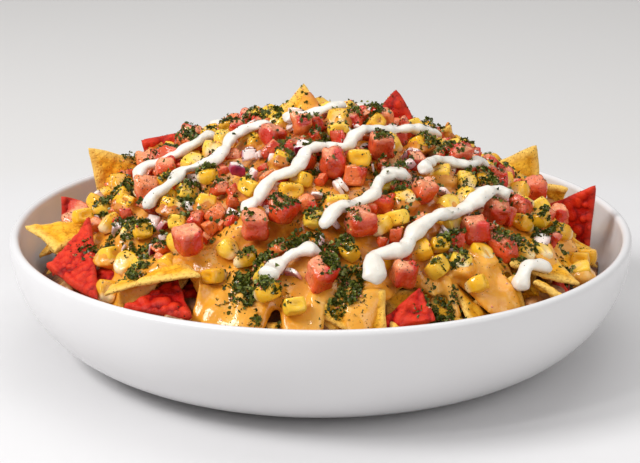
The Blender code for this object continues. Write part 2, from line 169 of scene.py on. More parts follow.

# Heap's core, brown and painted dark as shade deep in the heap: its grid, its reach, how deep it lies, and
# where and how its skirt falls
CORE_RINGS, CORE_SPOKES, CORE_REACH = 44, 180, 120
CORE_DEPTH = 10.5
SKIRT_TOP, SKIRT_FROM, SKIRT_FALL = 46, 88, 0.3

# Beans that show at the served side, in plan, and how many more lie at the back
BEAN_SPOTS = ((51, -100), (60, -97), (5, -107), (82, -76), (90, -66), (-54, -96), (-98, -56))
BACK_BEANS = 9
BEAN_SIZE = (5.6, 3.9, 3.4)

# Solid kernels: turn and tip, in degrees. Then a kernel's half size, the room one takes among the
# larger toppings, the size it counts with otherwise, and the room that a solid dice takes.
SOLID_KERNELS = (
    ("kernel_01", 30, 70), ("kernel_02", 60, 80), ("kernel_03", 20, 60), ("kernel_04", 75, 85),
    ("kernel_05", 0, 80), ("kernel_06", 65, 70), ("kernel_07", 20, 55),
)
KERNEL_SIZE = (4.5, 3.4, 4.9)
KERNEL_ROOM = 9
LOOSE_KERNEL = 8.5
DICE_ROOM = 11
KERNEL_SEED = 40

# How much of their size the larger and the loose toppings are sunk into the heap, and the share
# of their room that they keep
KERNEL_SUNK, DICE_SUNK, ONION_SUNK = (0.3, 0.42), (0.26, 0.34), 0.26
ZONE_ROOM, LOOSE_ROOM = 0.9, 0.86

# Where the larger toppings lie beside the solid ones: plan place, reach, and how many
# sweetcorn kernels, tomato dice and bits of onion share it
ZONES = (
    (15, 10, 5, 1, 0, 0), (-90, 0, 15, 3, 1, 1), (-60, 5, 15, 1, 3, 1), (-65, -50, 20, 3, 0, 4),
    (-75, -70, 10, 3, 0, 0), (-40, -30, 15, 2, 3, 2), (-40, -90, 15, 2, 0, 0), (-5, 0, 20, 4, 2, 1),
    (0, -35, 20, 3, 2, 2), (20, -60, 15, 4, 1, 2), (0, -80, 15, 1, 1, 3), (45, -30, 20, 4, 2, 3),
    (50, -80, 15, 4, 0, 0), (75, -20, 15, 3, 2, 2), (80, -50, 15, 2, 1, 1), (100, -30, 15, 3, 1, 0),
    (110, -35, 10, 4, 0, 0), (-30, 45, 30, 6, 5, 4), (40, 50, 30, 6, 5, 4), (0, 85, 20, 3, 3, 2),
)
DICE_SIZES = (7, 10)
ONION_SIZES = (6, 9)
TOPPING_REACH = 116
PLACE_TRIES = 40

# A vivid bit of onion beside kernel_04: how far off it lies, its size, turn, tip and purple
VIVID_ONION = (11, 3, 10, 25, 25, 1.6)

# Loose toppings between them: how often one is tried, how far out, and their sizes.
# Under the first share they are dice, then up to the second onion, and kernels above it.
LOOSE_TRIES = 5200
LOOSE_REACH = 96
LOOSE_SIZES = (3.6, 7.2)
DICE_SHARE, ONION_SHARE = 0.32, 0.5

# Herb patches: plan place, reach, and how thick each lies
HERBS = (
    (-60, 5, 8, 1), (-50, 0, 6, 1), (-78, -8, 6, 1), (-88, -15, 6, 1), (-57, -34, 8, 1),
    (-47, -43, 9, 1), (-78, -42, 7, 1), (-72, -52, 8, 1), (-66, -62, 7, 1), (-70, -79, 5, 1.4),
    (-41, 10, 6, 1), (-30, 14, 6, 1), (-22, 0, 6, 1), (-12, -38, 5, 0.8), (-2, -38, 6, 1),
    (-2, -22, 5, 1), (18, 3, 7, 1), (25, -24, 5, 1), (28, -40, 8, 1.2), (29, -50, 7, 1.2),
    (-12, -74, 7, 1), (-3, -78, 7, 1), (6, -82, 8, 1.2), (-20, -86, 8, 1.2), (-26, -92, 8, 1.4),
    (-22, -98, 8, 1.6), (9, -92, 7, 1.4), (9, -99, 6, 1.6), (48, -14, 6, 1), (64, -19, 8, 1),
    (73, -28, 6, 1), (50, -66, 6, 1), (50, -75, 7, 1), (44, -92, 7, 1.2), (45, -100, 7, 1.4),
    (73, -60, 8, 1), (80, -52, 5, 1), (88, -36, 6, 1), (94, -30, 6, 1), (100, -50, 5, 1.2),
    (-90, -48, 5, 0.8), (60, -38, 5, 0.8), (-20, 40, 8, 1), (16, 48, 8, 1), (48, 44, 7, 1),
    (-56, 48, 8, 1.2), (-84, 40, 6, 1), (0, 70, 8, 1.1), (34, 78, 7, 1), (70, 44, 7, 1),
    (-34, 76, 7, 1), (-8, 94, 6, 1.2),
)
HERB_DENSITY, CRUMB_DENSITY = 7.5, 0.75
HERB_LIFT = 2.9
LEAF_SIDES = 6

# Small herb patches strewn between them, specks, and how far out herb and crumbs lie
SMALL_PATCHES, SMALL_REACH = 80, 86
SPECK_COUNT, SPECK_REACH = 13500, 112
BIT_REACH = 111

# Sour cream: the solid each replaces, its radius and its route in plan from the blob upwards.
# Four more strands lie on the far side.
STRANDS = (
    ("cream_left", 2.1, ((-77, -15), (-70, -10), (-60, -10), (-50, -5), (-45, 5))),
    ("cream_middle_left", 2.3, ((-70, -45), (-60, -40), (-55, -30), (-45, -30), (-40, -25),
                                (-35, -15), (-20, -10))),
    ("cream_middle", 2.4, ((-30, -70), (-25, -65), (-20, -55), (-10, -50), (-5, -40), (5, -35),
                           (10, -35), (15, -25), (25, -15), (40, -5), (50, 5))),
    ("cream_crest", 2.1, ((-15, -10), (-10, -5), (-5, -5), (5, 0), (10, 5))),
    ("cream_centre", 2.5, ((0, -80), (5, -75), (15, -65), (20, -60), (25, -50), (35, -45))),
    ("cream_upper_right", 2.1, ((40, -45), (45, -30), (50, -25), (60, -20), (65, -10), (70, -10))),
    ("cream_dab", 2.6, ((-20, -100), (-15, -90), (-5, -85), (0, -85))),
    ("cream_front", 2.9, ((20, -100), (20, -90), (30, -85), (35, -75), (45, -65), (55, -55),
                          (65, -45), (75, -40))),
    ("cream_right", 2.4, ((75, -80), (80, -70), (90, -65))),
    (None, 2.6, ((-50, 45), (-35, 50), (-20, 60), (-5, 70))),
    (None, 2.6, ((10, 45), (30, 50), (40, 60), (60, 65))),
    (None, 2.4, ((-65, 65), (-50, 75), (-35, 85))),
    (None, 2.6, ((5, 85), (15, 85), (30, 90))),
)
SOLID_CREAM_RADIUS = 2.9
CREAM_SIDES = 16
CREAM_SPACING = 0.8
CREAM_WIDE, CREAM_FLAT = 1.18, 0.8

# Plan places where the cheese lies bare of small toppings, with their reach
BARE = (
    (-45, -90, 15), (-60, -85, 10), (-80, -80, 10), (15, -100, 15), (5, -100, 10), (60, -85, 15),
    (75, -80, 15), (90, -50, 15), (105, -30, 10), (-25, -105, 10), (45, -100, 10), (-100, -40, 10),
    (-110, -20, 10), (-35, -70, 5), (-100, 35, 15), (90, 30, 10), (25, 10, 5), (-10, 5, 10),
)

# Lights: place in metres, width and power. The camera: how high it stands and how far it looks
# down, in degrees, and how far away it is, in metres.
LIGHTS = {
    "key": ((-0.95, -0.35, 0.95), 0.45, 11.9), "spark": ((-0.55, -0.6, 0.85), 0.12, 1.6),
    "fill": ((0.9, -0.8, 0.7), 0.9, 3.7), "top": ((0.1, 0.35, 1.2), 1.0, 4.8),
}
SKY_STRENGTH = 0.47
FLOOR_HALF = 4
CAMERA_RISE, CAMERA_DIP, CAMERA_AWAY = 17.5, 17.82, 0.75


def draws(kind, number=0):
    return np.random.default_rng(SEEDS[kind] + number)


def mound(x, y):
    """Height of the heap's smooth surface over plan places."""
    return PEAK - DROP * (np.hypot(x, y) / SHOULDER) ** POWER


def wall_inside(z):
    """Radius of the bowl's inner wall at heights above its floor."""
    rise = np.clip((LIP_HEIGHT - z) / (LIP_HEIGHT - FLOOR_TOP), 0, 1)
    return FOOT_RADIUS - WALL + (BOWL_RADIUS - FOOT_RADIUS) * np.sqrt(1 - rise**2)


def ripple(points, size, seed):
    """Smooth noise, mostly between -1 and 1, with lumps about `size` across."""
    draw = np.random.default_rng(seed)
    total = np.zeros(len(points))
    for _ in range(RIPPLE_WAVES):
        way = draw.normal(size=points.shape[1])
        way *= TAU / (size * 2 * draw.uniform(0.7, 1.6) * np.linalg.norm(way))
        total += np.sin(points @ way + draw.uniform(0, TAU))
    return total / math.sqrt(RIPPLE_WAVES)


def wobble(points, size, seed, step=1):
    """The same noise for each of three directions."""
    return np.stack([ripple(points, size, seed + step * k) for k in range(3)], -1)


def smooth_step(value, low, high):
    share = np.clip((value - low) / (high - low), 0, 1)
    return share * share * (3 - 2 * share)


def unit(rows):
    return rows / np.linalg.norm(rows, axis=1)[:, None]


def facing(corners):
    """The unit normal of a triangle."""
    normal = np.cross(corners[1] - corners[0], corners[2] - corners[0])
    return normal / np.linalg.norm(normal)


def around(count):
    """Even angles all the way round."""
    return np.arange(count) * TAU / count


def wheel(radius, angle):
    """Plan places of a polar grid, ring by ring."""
    return (radius * np.cos(angle)).ravel(), (radius * np.sin(angle)).ravel()


def turn_matrix(turn, tip, roll=0.0):
    turned = Matrix.Rotation(math.radians(turn), 3, "Z") @ Matrix.Rotation(math.radians(tip), 3, "X")
    return np.array(turned @ Matrix.Rotation(math.radians(roll), 3, "Z"))


def random_turns(count, draw):
    """Evenly random rotation matrices."""
    w, x, y, z = unit(draw.normal(size=(count, 4))).T
    rows = [1 - 2 * (y * y + z * z), 2 * (x * y - z * w), 2 * (x * z + y * w),
            2 * (x * y + z * w), 1 - 2 * (x * x + z * z), 2 * (y * z - x * w),
            2 * (x * z - y * w), 2 * (y * z + x * w), 1 - 2 * (x * x + y * y)]
    return np.stack(rows, axis=-1).reshape(-1, 3, 3)


def skewed(points, amount, draw):
    """Points pulled out of square by a random amount."""
    return points @ (draw.normal(scale=amount, size=(3, 3)) + np.eye(3)).T


class Soup:
    """Points and faces of many like pieces, with numbers marked on their points."""

    def __init__(self, *marks):
        self.points, self.faces, self.count = [], [], 0
        self.marks = {mark: [] for mark in marks}

    def add(self, points, faces, **marks):
        self.points.append(points)
        self.faces.append(faces + self.count)
        self.count += len(points)
        for mark, values in self.marks.items():
            values.append(np.broadcast_to(np.asarray(marks[mark], float), (len(points),)))

    def cap(self, first, count, flipped=False):
        """Closes a ring of points with one flat face."""
        ring = first + np.arange(count)
        self.faces.append((ring[::-1] if flipped else ring)[None])

    def mesh(self, name):
        made = bpy.data.meshes.new(name)
        faces = [face for group in self.faces for face in group.tolist()]
        made.from_pydata(np.concatenate(self.points) * MM, [], faces, shade_flat=False)
        for mark, values in self.marks.items():
            layer = made.attributes.new(mark, "FLOAT", "POINT")
            layer.data.foreach_set("value", np.concatenate(values))
        return made

    def piece(self, name, material, slot, *replaced):
        made = linked(name, self.mesh(name))
        made.data.materials.append(material)
        return settled(made, slot, *replaced)


def linked(name, data):
    """A new object in the scene."""
    made = bpy.data.objects.new(name, data)
    scene.collection.objects.link(made)
    return made


def settled(made, slot, *replaced):
    """Lets a piece ride on the only body and hides the solids it stands for."""
    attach(made, "root")
    if replaced:
        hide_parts(*replaced)
    return made


def grid_faces(rows, columns, wrap=False):
    """Quads between the points of a grid stored row by row."""
    index = np.arange(rows * columns).reshape(rows, columns)
    beside = np.roll(index, -1, axis=1) if wrap else index[:, 1:]
    here = index if wrap else index[:, :-1]
    return np.stack([here[:-1], beside[:-1], beside[1:], here[1:]], -1).reshape(-1, 4)


@functools.cache
def block(cuts):
    """A cube's surface from -1 to 1 as one welded grid of quads."""
    t = np.linspace(-1, 1, cuts + 1)
    u, v = np.meshgrid(t, t, indexing="ij")
    points, faces = [], []
    for axis in range(3):
        for side in (-1, 1):
            face = np.empty((cuts + 1, cuts + 1, 3))
            face[..., axis] = side
            face[..., (axis + 1) % 3] = u * side
            face[..., (axis + 2) % 3] = v
            faces.append(grid_faces(cuts + 1, cuts + 1)[:, ::-1] + len(points) * (cuts + 1) ** 2)
            points.append(face.reshape(-1, 3))
    points = np.concatenate(points)
    _, first, where = np.unique(np.round(points * 1e4).astype(int), axis=0, return_index=True,
                                return_inverse=True)
    return points[first], where.ravel()[np.concatenate(faces)]


def rounded(points, roundness):
    """Points of a block drawn towards a ball."""
    return points * (1 - roundness) + unit(points) * roundness


# ---------------- ground that pieces lie on

def mesh_points(mesh):
    points = np.empty(len(mesh.vertices) * 3)
    mesh.vertices.foreach_get("co", points)
    return points.reshape(-1, 3)


def ray_tree(points, mesh):
    """A tree that finds where a ray meets a mesh, with its points as given."""
    return BVHTree.FromPolygons(points.tolist(), [face.vertices[:] for face in mesh.polygons])


def centre_of(name):
    """The middle of a solid's box."""
    low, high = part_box(name)
    return np.array((low + high) / 2) / MM


class Ground:
    """Surfaces that later pieces are laid on."""

    def __init__(self, *pieces):
        self.trees = []
        self.add(*pieces)

    def add(self, *pieces):
        self.trees += [ray_tree(mesh_points(piece.data), piece.data) for piece in pieces]

    def top(self, x, y, default=None):
        """Highest point over a plan place, or the default where there is none."""
        start = Vector((x * MM, y * MM, 1))
        hits = [tree.ray_cast(start, Vector((0, 0, -1)))[0] for tree in self.trees]
        return max((hit.z / MM for hit in hits if hit is not None), default=default)

    def tops(self, x, y):
        """Highest points over many plan places, or well under the mound where there is none."""
        return np.array([self.top(px, py, float(mound(px, py)) - 12) for px, py in zip(x, y)])

    def over(self, x, y):
        """Which plan places have something of this ground under them."""
        return np.array([self.top(px, py) is not None for px, py in zip(x, y)])


class Bed:
    """Where toppings already lie, so that the next ones find room and stay under the cream."""

    def __init__(self, courses):
        self.courses = courses
        self.taken = []

    def height(self, x, y, size, sunk):
        """Centre height of a piece pressed into the heap, and under a strand that crosses it."""
        height = float(mound(x, y)) - CHEESE_SINK + size * (0.5 - sunk)
        near = np.hypot(self.courses[:, 0] - x, self.courses[:, 1] - y) < size * 0.45 + 2.0
        if near.any():
            height = min(height, self.courses[near, 2].min() - 1.2 - size * 0.38)
        return height

    def take(self, x, y, size):
        self.taken.append((x, y, size / 2))

    def room(self, x, y, size, squeeze):
        taken = np.array(self.taken)
        gap = np.hypot(taken[:, 0] - x, taken[:, 1] - y) - (taken[:, 2] + size / 2) * squeeze
        return gap.min() > 0


def laden(x, y, most, fade):
    """How much lies on the cheese: nothing on its bare places and out at the rim."""
    clear = np.ones(len(x))
    for bx, by, reach in BARE:
        clear = np.minimum(clear, smooth_step(np.hypot(x - bx, y - by), reach * 0.7, reach * fade))
    return most * clear * (1 - smooth_step(np.hypot(x, y), RIM_FROM, RIM_TO))


# ---------------- materials

class Paint:
    """A Principled material that is put together node by node."""

    def __init__(self, name):
        self.material = bpy.data.materials.new(name)
        self.material.use_nodes = True
        self.tree = self.material.node_tree
        self.shader = self.tree.nodes["Principled BSDF"].inputs
        self.place = self.tree.nodes.new("ShaderNodeTexCoord").outputs["Object"]

    def node(self, kind, output, inputs, **settings):
        """A new node's output, with its settings and inputs filled in."""
        node = self.tree.nodes.new("ShaderNode" + kind)
        for name, value in settings.items():
            setattr(node, name, value)
        for name, value in inputs.items():
            self.put(node.inputs[name], value)
        return node.outputs[output]

    def put(self, socket, value):
        if isinstance(value, bpy.types.NodeSocket):
            self.tree.links.new(value, socket)
        else:
            socket.default_value = (*value, 1) if isinstance(value, tuple) else value

    def noise(self, scale, detail=3.0, roughness=0.55, distortion=0.0):
        return self.node("TexNoise", "Fac", {"Vector": self.place, "Scale": scale, "Detail": detail,
                                             "Roughness": roughness, "Distortion": distortion})

    def cells(self, scale):
        return self.node("TexVoronoi", "Distance", {"Vector": self.place, "Scale": scale})

    def mark(self, name):
        return self.node("Attribute", "Fac", {}, attribute_name=name)

    def times(self, first, second):
        return self.node("Math", "Value", {0: first, 1: second}, operation="MULTIPLY")

    def ramp(self, source, *stops):
        """Colours or numbers by the value of a socket."""
        node = self.tree.nodes.new("ShaderNodeValToRGB")
        marks = node.color_ramp.elements
        while len(marks) < len(stops):
            marks.new(1.0)
        for element, (place, colour) in zip(marks, stops):
            element.position = place
            element.color = (*colour, 1) if isinstance(colour, tuple) else (colour, colour, colour, 1)
        self.put(node.inputs["Fac"], source)
        return node.outputs["Color"]

    def base(self, source, *stops):
        self.body = self.ramp(source, *stops)

    def layer(self, colour, source, *stops):
        """Lays a colour over the body, as far as a socket's value or its stops say."""
        share = self.ramp(source, *stops) if stops else source
        self.body = self.node("Mix", "Result", {"Factor": share, "A": self.body, "B": colour},
                              data_type="RGBA")

    def finish(self, rough, *bumps, flesh=None, specular=None):
        """Joins everything to the shader and gives the material.

        Rough is a number, or a noise's scale and detail with the least and the most. A bump is
        a height with its depth in millimetres. Flesh is how much light spreads under the surface,
        how far each colour goes, and the scale of that in millimetres.
        """
        if isinstance(rough, tuple):
            scale, detail, least, most = rough
            rough = self.node("MapRange", "Result", {"Value": self.noise(scale, detail),
                                                     "To Min": least, "To Max": most})
        self.put(self.shader["Base Color"], self.body)
        self.put(self.shader["Roughness"], rough)
        below = {}
        for height, depth in bumps:
            below = {"Normal": self.node("Bump", "Normal", {
                "Strength": 1.0, "Distance": depth * MM, "Height": height, **below})}
        if below:
            self.put(self.shader["Normal"], below["Normal"])
        if flesh:
            self.shader["Subsurface Weight"].default_value = flesh[0]
            self.shader["Subsurface Radius"].default_value = flesh[1]
            self.shader["Subsurface Scale"].default_value = flesh[2] * MM
        if specular is not None:
            self.shader["Specular IOR Level"].default_value = specular
        return self.material


def glaze_paint():
    paint = Paint("bowl_glaze_finish")
    paint.base(paint.noise(14, 2), (0.3, (0.698, 0.688, 0.693)), (0.7, (0.732, 0.724, 0.73)))
    return paint.finish((60, 3, 0.14, 0.28), (paint.noise(26, 2), 0.14), (paint.noise(220, 2), 0.015))


def cheese_paint():
    paint = Paint("cheese_sauce")
    paint.base(paint.noise(70, 4, 0.6, 0.4), (0.3, (0.7, 0.265, 0.01)), (0.52, (0.86, 0.39, 0.04)),
               (0.75, (0.93, 0.51, 0.11)))
    # Pale flecks of fat, their colour raised to stand in for the sauce's highlights as well: partly
    # painted highlight
    paint.layer((0.92, 0.58, 0.22), paint.noise(260, 3, 0.6), (0.56, 0.0), (0.74, 0.7))
    # Reddish and darker where toppings lie: tomato juice stain and painted shade in the gaps between them
    juice_and_shade = paint.times(paint.mark("juice_and_shade"), paint.ramp(paint.noise(110, 4), (0.35, 0.15), (0.6, 1.0)))
    paint.layer((0.48, 0.11, 0.014), juice_and_shade)
    paint.layer((0.06, 0.035, 0.008), paint.cells(420), (0.05, 1.0), (0.11, 0.0))
    return paint.finish((180, 3, 0.06, 0.26), (paint.noise(110, 4), 0.7), (paint.noise(480, 3), 0.12),
                        flesh=(0.12, (1.0, 0.45, 0.1), 1.6), specular=0.5)


def shade_core_paint():
    paint = Paint("painted_shade_heap_core")
    # Brown of chips and beans, going nearly black as painted shade deep in the heap
    paint.base(paint.noise(120, 5, 0.65), (0.32, (0.035, 0.01, 0.003)), (0.5, (0.16, 0.05, 0.01)),
               (0.7, (0.4, 0.15, 0.022)))
    return paint.finish(0.6, (paint.noise(160, 5), 2.5))


def yellow_paint():
    paint = Paint("yellow_maize")
    paint.base(paint.noise(95, 5, 0.6), (0.28, (0.66, 0.27, 0.008)), (0.5, (0.92, 0.43, 0.018)),
               (0.74, (0.96, 0.52, 0.045)))
    # Lighter blister tops as painted highlight, and a darker ring round each blister as painted shade
    paint.layer((0.95, 0.52, 0.045), paint.mark("blister"), (0.25, 0.0), (0.9, 0.7))
    paint.layer((0.48, 0.17, 0.012), paint.mark("blister"), (0.03, 0.0), (0.2, 0.45), (0.42, 0.0))
    paint.layer((0.92, 0.62, 0.17), paint.mark("edge"), (0.0, 0.8), (0.35, 0.0))
    paint.layer((0.34, 0.12, 0.01), paint.noise(850, 4, 0.7), (0.54, 0.0), (0.68, 0.62))
    paint.layer((0.14, 0.045, 0.008), paint.cells(520), (0.06, 0.9), (0.13, 0.0))
    pores = paint.ramp(paint.cells(560), (0.05, 0.0), (0.4, 1.0))
    return paint.finish((300, 2, 0.45, 0.7), (paint.noise(240, 5, 0.65), 1.1), (pores, 0.35),
                        specular=0.08)


def red_paint():
    paint = Paint("red_maize")
    paint.base(paint.noise(150, 5, 0.7), (0.32, (0.2, 0.002, 0.002)), (0.5, (0.46, 0.006, 0.003)),
               (0.7, (0.62, 0.014, 0.006)))
    # Lighter blister tops as painted highlight, and a darker ring round each blister as painted shade
    paint.layer((0.76, 0.046, 0.012), paint.mark("blister"), (0.35, 0.0), (0.9, 0.85))
    paint.layer((0.15, 0.001, 0.001), paint.mark("blister"), (0.03, 0.0), (0.2, 0.75), (0.42, 0.0))
    paint.layer((0.66, 0.06, 0.03), paint.mark("edge"), (0.0, 0.45), (0.25, 0.0))
    paint.layer((0.62, 0.026, 0.008), paint.noise(800, 4, 0.7), (0.56, 0.0), (0.7, 0.6))
    paint.layer((0.08, 0.008, 0.004), paint.cells(480), (0.05, 0.9), (0.11, 0.0))
    return paint.finish((320, 3, 0.28, 0.55), (paint.noise(300, 5, 0.65), 0.9),
                        (paint.noise(900, 3), 0.25), specular=0.16)


def tomato_paint():
    paint = Paint("tomato_cut")
    paint.base(paint.noise(170, 4, 0.6, 0.8), (0.3, (0.46, 0.016, 0.003)), (0.5, (0.72, 0.085, 0.014)),
               (0.7, (0.86, 0.23, 0.06)))
    tone = paint.ramp(paint.mark("tone"), (0.0, (0.5, 0.012, 0.003)), (0.5, (0.74, 0.08, 0.012)),
                      (1.0, (0.86, 0.25, 0.05)))
    paint.layer(tone, 0.6)
    # Pale cut flesh, laid most on upper and left-facing faces: partly painted light
    grain = paint.ramp(paint.noise(330, 4, 0.65, 0.5), (0.38, 0.45), (0.62, 1.0))
    paint.layer((0.95, 0.44, 0.21), paint.times(paint.mark("pale"), grain))
    paint.layer((0.62, 0.022, 0.004), paint.mark("skin"))
    paint.layer((0.07, 0.016, 0.005), paint.cells(520), (0.08, 0.95), (0.15, 0.0))
    return paint.finish((260, 3, 0.04, 0.24), (paint.noise(230, 4, 0.6), 1.2), (paint.noise(700, 3), 0.22),
                        flesh=(0.12, (1.0, 0.25, 0.08), 1.2), specular=0.7)


def corn_paint():
    paint = Paint("sweetcorn")
    paint.base(paint.mark("tone"), (0.0, (0.76, 0.345, 0.006)), (0.5, (0.88, 0.475, 0.014)),
               (1.0, (0.93, 0.6, 0.06)))
    paint.layer((0.9, 0.6, 0.09), paint.noise(210, 3), (0.35, 0.0), (0.8, 0.45))
    paint.layer((0.9, 0.7, 0.38), paint.mark("pale"))
    paint.layer((0.12, 0.05, 0.008), paint.cells(480), (0.06, 0.9), (0.12, 0.0))
    return paint.finish((300, 2, 0.05, 0.2), (paint.noise(260, 3), 0.45), (paint.noise(900, 2), 0.05),
                        flesh=(0.2, (1.0, 0.6, 0.12), 1.6), specular=0.45)


def onion_paint():
    paint = Paint("red_onion")
    paint.base(paint.noise(240, 3), (0.3, (0.84, 0.62, 0.54)), (0.7, (0.95, 0.88, 0.82)))
    purple = paint.ramp(paint.noise(200, 3), (0.35, (0.2, 0.01, 0.07)), (0.7, (0.68, 0.04, 0.13)))
    paint.layer(purple, paint.mark("rind"))
    paint.layer((0.05, 0.03, 0.01), paint.cells(500), (0.07, 0.9), (0.14, 0.0))
    return paint.finish((300, 2, 0.05, 0.22), (paint.noise(280, 3), 0.4),
                        flesh=(0.25, (0.8, 0.5, 0.5), 1.4))


def cream_paint():
    paint = Paint("soured_cream")
    paint.base(paint.noise(160, 3), (0.3, (0.76, 0.71, 0.62)), (0.7, (0.83, 0.8, 0.73)))
    return paint.finish((260, 2, 0.2, 0.4), (paint.noise(180, 4), 0.6), (paint.noise(700, 2), 0.06),
                        flesh=(0.2, (1.0, 0.8, 0.6), 1.4))


def herb_paint():
    paint = Paint("chopped_herb")
    # Tone: darker for bits deep in a patch as painted shade, lighter for high bits and leaf rims as
    # painted highlight, and random besides
    paint.base(paint.mark("tone"), (0.0, (0.024, 0.03, 0.003)), (0.4, (0.1, 0.125, 0.012)),
               (0.75, (0.26, 0.29, 0.05)), (1.0, (0.46, 0.46, 0.14)))
    paint.layer((0.035, 0.042, 0.004), paint.noise(900, 2), (0.4, 0.0), (0.7, 0.3))
    return paint.finish((700, 2, 0.16, 0.42), (paint.noise(900, 3), 0.12), specular=0.35)


def crumb_paint():
    paint = Paint("fine_crumb")
    paint.base(paint.mark("tone"), (0.0, (0.56, 0.03, 0.02)), (0.3, (0.76, 0.22, 0.13)),
               (0.55, (0.8, 0.56, 0.38)), (0.8, (0.8, 0.42, 0.05)), (1.0, (0.5, 0.06, 0.1)))
    paint.layer((0.8, 0.46, 0.26), paint.noise(900, 2), (0.4, 0.0), (0.7, 0.5))
    return paint.finish((700, 2, 0.25, 0.5), (paint.noise(900, 2), 0.1))


def speck_paint():
    paint = Paint("herb_specks")
    paint.base(paint.mark("tone"), (0.0, (0.012, 0.012, 0.003)), (0.7, (0.04, 0.048, 0.008)),
               (1.0, (0.14, 0.055, 0.015)))
    return paint.finish((800, 2, 0.35, 0.6), specular=0.25)


def bean_paint():
    paint = Paint("cooked_bean")
    paint.base(paint.noise(150, 4), (0.3, (0.24, 0.085, 0.022)), (0.55, (0.44, 0.2, 0.065)),
               (0.8, (0.6, 0.33, 0.13)))
    return paint.finish((260, 2, 0.25, 0.5), (paint.noise(200, 4), 0.8))


def floor_paint():
    """A pale board that turns a little darker behind the bowl."""
    paint = Paint("floor_board")
    paint.base(paint.noise(5, 4), (0.3, (0.7, 0.692, 0.696)), (0.7, (0.74, 0.732, 0.738)))
    away = paint.node("SeparateXYZ", "Y", {"Vector": paint.place})
    behind = paint.node("MapRange", "Result", {"Value": away, "From Min": 0.2, "From Max": 0.27},
                        interpolation_type="SMOOTHSTEP")
    paint.layer((0.7, 0.688, 0.679), behind)
    return paint.finish(0.45)


# ---------------- bowl

def make_bowl():
    """The bowl turned again with fine steps, on the solid bowl's profile."""
    angles = np.linspace(0, np.pi / 2, WALL_STEPS + 1)
    flare = BOWL_RADIUS - FOOT_RADIUS
    profile = [(INNERMOST, FLOOR_TOP)]
    profile += [(FOOT_RADIUS - WALL + flare * math.sin(a),
                 FLOOR_TOP + (LIP_HEIGHT - FLOOR_TOP) * (1 - math.cos(a))) for a in angles]
    profile += [(BOWL_RADIUS - WALL / 2 - WALL / 2 * math.cos(a), LIP_HEIGHT + WALL / 2 * math.sin(a))
                for a in np.linspace(0, np.pi, LIP_STEPS + 1)[1:-1]]
    profile += [(FOOT_RADIUS + flare * math.sin(a), LIP_HEIGHT * (1 - math.cos(a)))
                for a in angles[::-1]]
    profile += [(FOOT_RADIUS - FOOT_EDGE, 0), (FOOT_RADIUS - FOOT_WIDTH, 0),
                (FOOT_RADIUS - FOOT_WIDTH - FOOT_RECESS, FOOT_RECESS), (INNERMOST, FOOT_RECESS)]
    radius, height = np.array(profile).T
    x, y = wheel(radius[:, None], around(BOWL_STEPS))
    soup = Soup()
    soup.add(np.stack([x, y, np.repeat(height, BOWL_STEPS)], -1),
             grid_faces(len(profile), BOWL_STEPS, wrap=True)[:, ::-1])
    soup.cap(0, BOWL_STEPS)
    soup.cap(soup.count - BOWL_STEPS, BOWL_STEPS, flipped=True)
    return soup.piece("bowl_glazed", glaze_paint(), "bowl_glaze", "bowl")


# ---------------- chips

def corners_of(name):
    """The three corners of a chip's solid and how far its middle bulges."""
    points = mesh_points(frame["nodes"][name].data) / MM
    apart = np.linalg.norm(points[:, None] - points[None], axis=2)
    first, second = np.unravel_index(apart.argmax(), apart.shape)
    along = points[second] - points[first]
    along /= np.linalg.norm(along)
    off = points - points[first]
    third = np.linalg.norm(off - (off @ along)[:, None] * along, axis=1).argmax()
    corners = np.array([points[apart[i] < CORNER_REACH].mean(0) for i in (first, second, third)])
    return corners, ((points - corners[0]) @ facing(corners)).mean() / MEAN_BULGE


def add_chip(soup, corners, bulge, rows, seed, maize):
    """Adds a blistered triangular chip, with blister heights and closeness to the edge marked. The paints
    use the blister heights for painted highlight on the tops and painted shade round them.
    """
    blisters, narrow, wide, tall, grain = BLISTERS[maize]
    draw = np.random.default_rng(seed)
    grid = [(i, j) for i in range(rows + 1) for j in range(rows + 1 - i)]
    index = {cell: n for n, cell in enumerate(grid)}
    weights = np.array([(i, j, rows - i - j) for i, j in grid]) / rows
    edge = weights.min(1) * 3
    blunt = smooth_step(weights.max(1), 0.92, 1.0)[:, None] * 0.025
    flat = (weights * (1 - blunt) + blunt / 3) @ corners
    out = flat - corners.mean(0)
    nibbled = ripple(flat, 7, seed + 1) * 0.45 * np.exp(-edge / 0.1)
    flat = flat + out / np.linalg.norm(out + 1e-9, axis=1)[:, None] * nibbled[:, None]
    lift = bulge * (1 - 1.5 * ((weights - 1 / 3) ** 2).sum(1)) + ripple(flat, 22, seed + 2) * 0.4
    lift = lift + ripple(flat, 6, seed + 3) * grain
    blister = np.zeros(len(flat))
    size = np.linalg.norm(corners[1] - corners[0])
    for _ in range(int(blisters * (size / 40) ** 2)):
        centre = draw.dirichlet((1, 1, 1)) @ corners
        far = ((flat - centre) ** 2).sum(1) / draw.uniform(narrow, wide) ** 2
        blister = np.maximum(blister, draw.uniform(0.5, 1.0) * np.exp(-far**1.5))
    height = blister * tall * smooth_step(edge, 0.0, 0.1)
    half = 0.55 + 0.35 * smooth_step(edge, 0.0, 0.2)
    upper = flat + facing(corners) * (lift + half + height)[:, None]
    lower = flat + facing(corners) * (lift - half - 0.8 * height)[:, None]
    faces = []
    for i, j in grid:
        if i + j < rows:
            faces.append((index[i, j], index[i + 1, j], index[i, j + 1]))
        if i + j < rows - 1:
            faces.append((index[i + 1, j], index[i + 1, j + 1], index[i, j + 1]))
    faces = np.array(faces)
    ring = np.array([index[i, 0] for i in range(rows)] + [index[rows - j, j] for j in range(rows)]
                    + [index[0, rows - k] for k in range(rows)])
    beside, count = np.roll(ring, -1), len(flat)
    sides = [np.stack([ring, ring + count, beside], -1),
             np.stack([beside, ring + count, beside + count], -1)]
    soup.add(np.concatenate([upper, lower]), np.concatenate([faces, faces[:, ::-1] + count, *sides]),
             blister=np.tile(blister, 2), edge=np.tile(edge, 2))


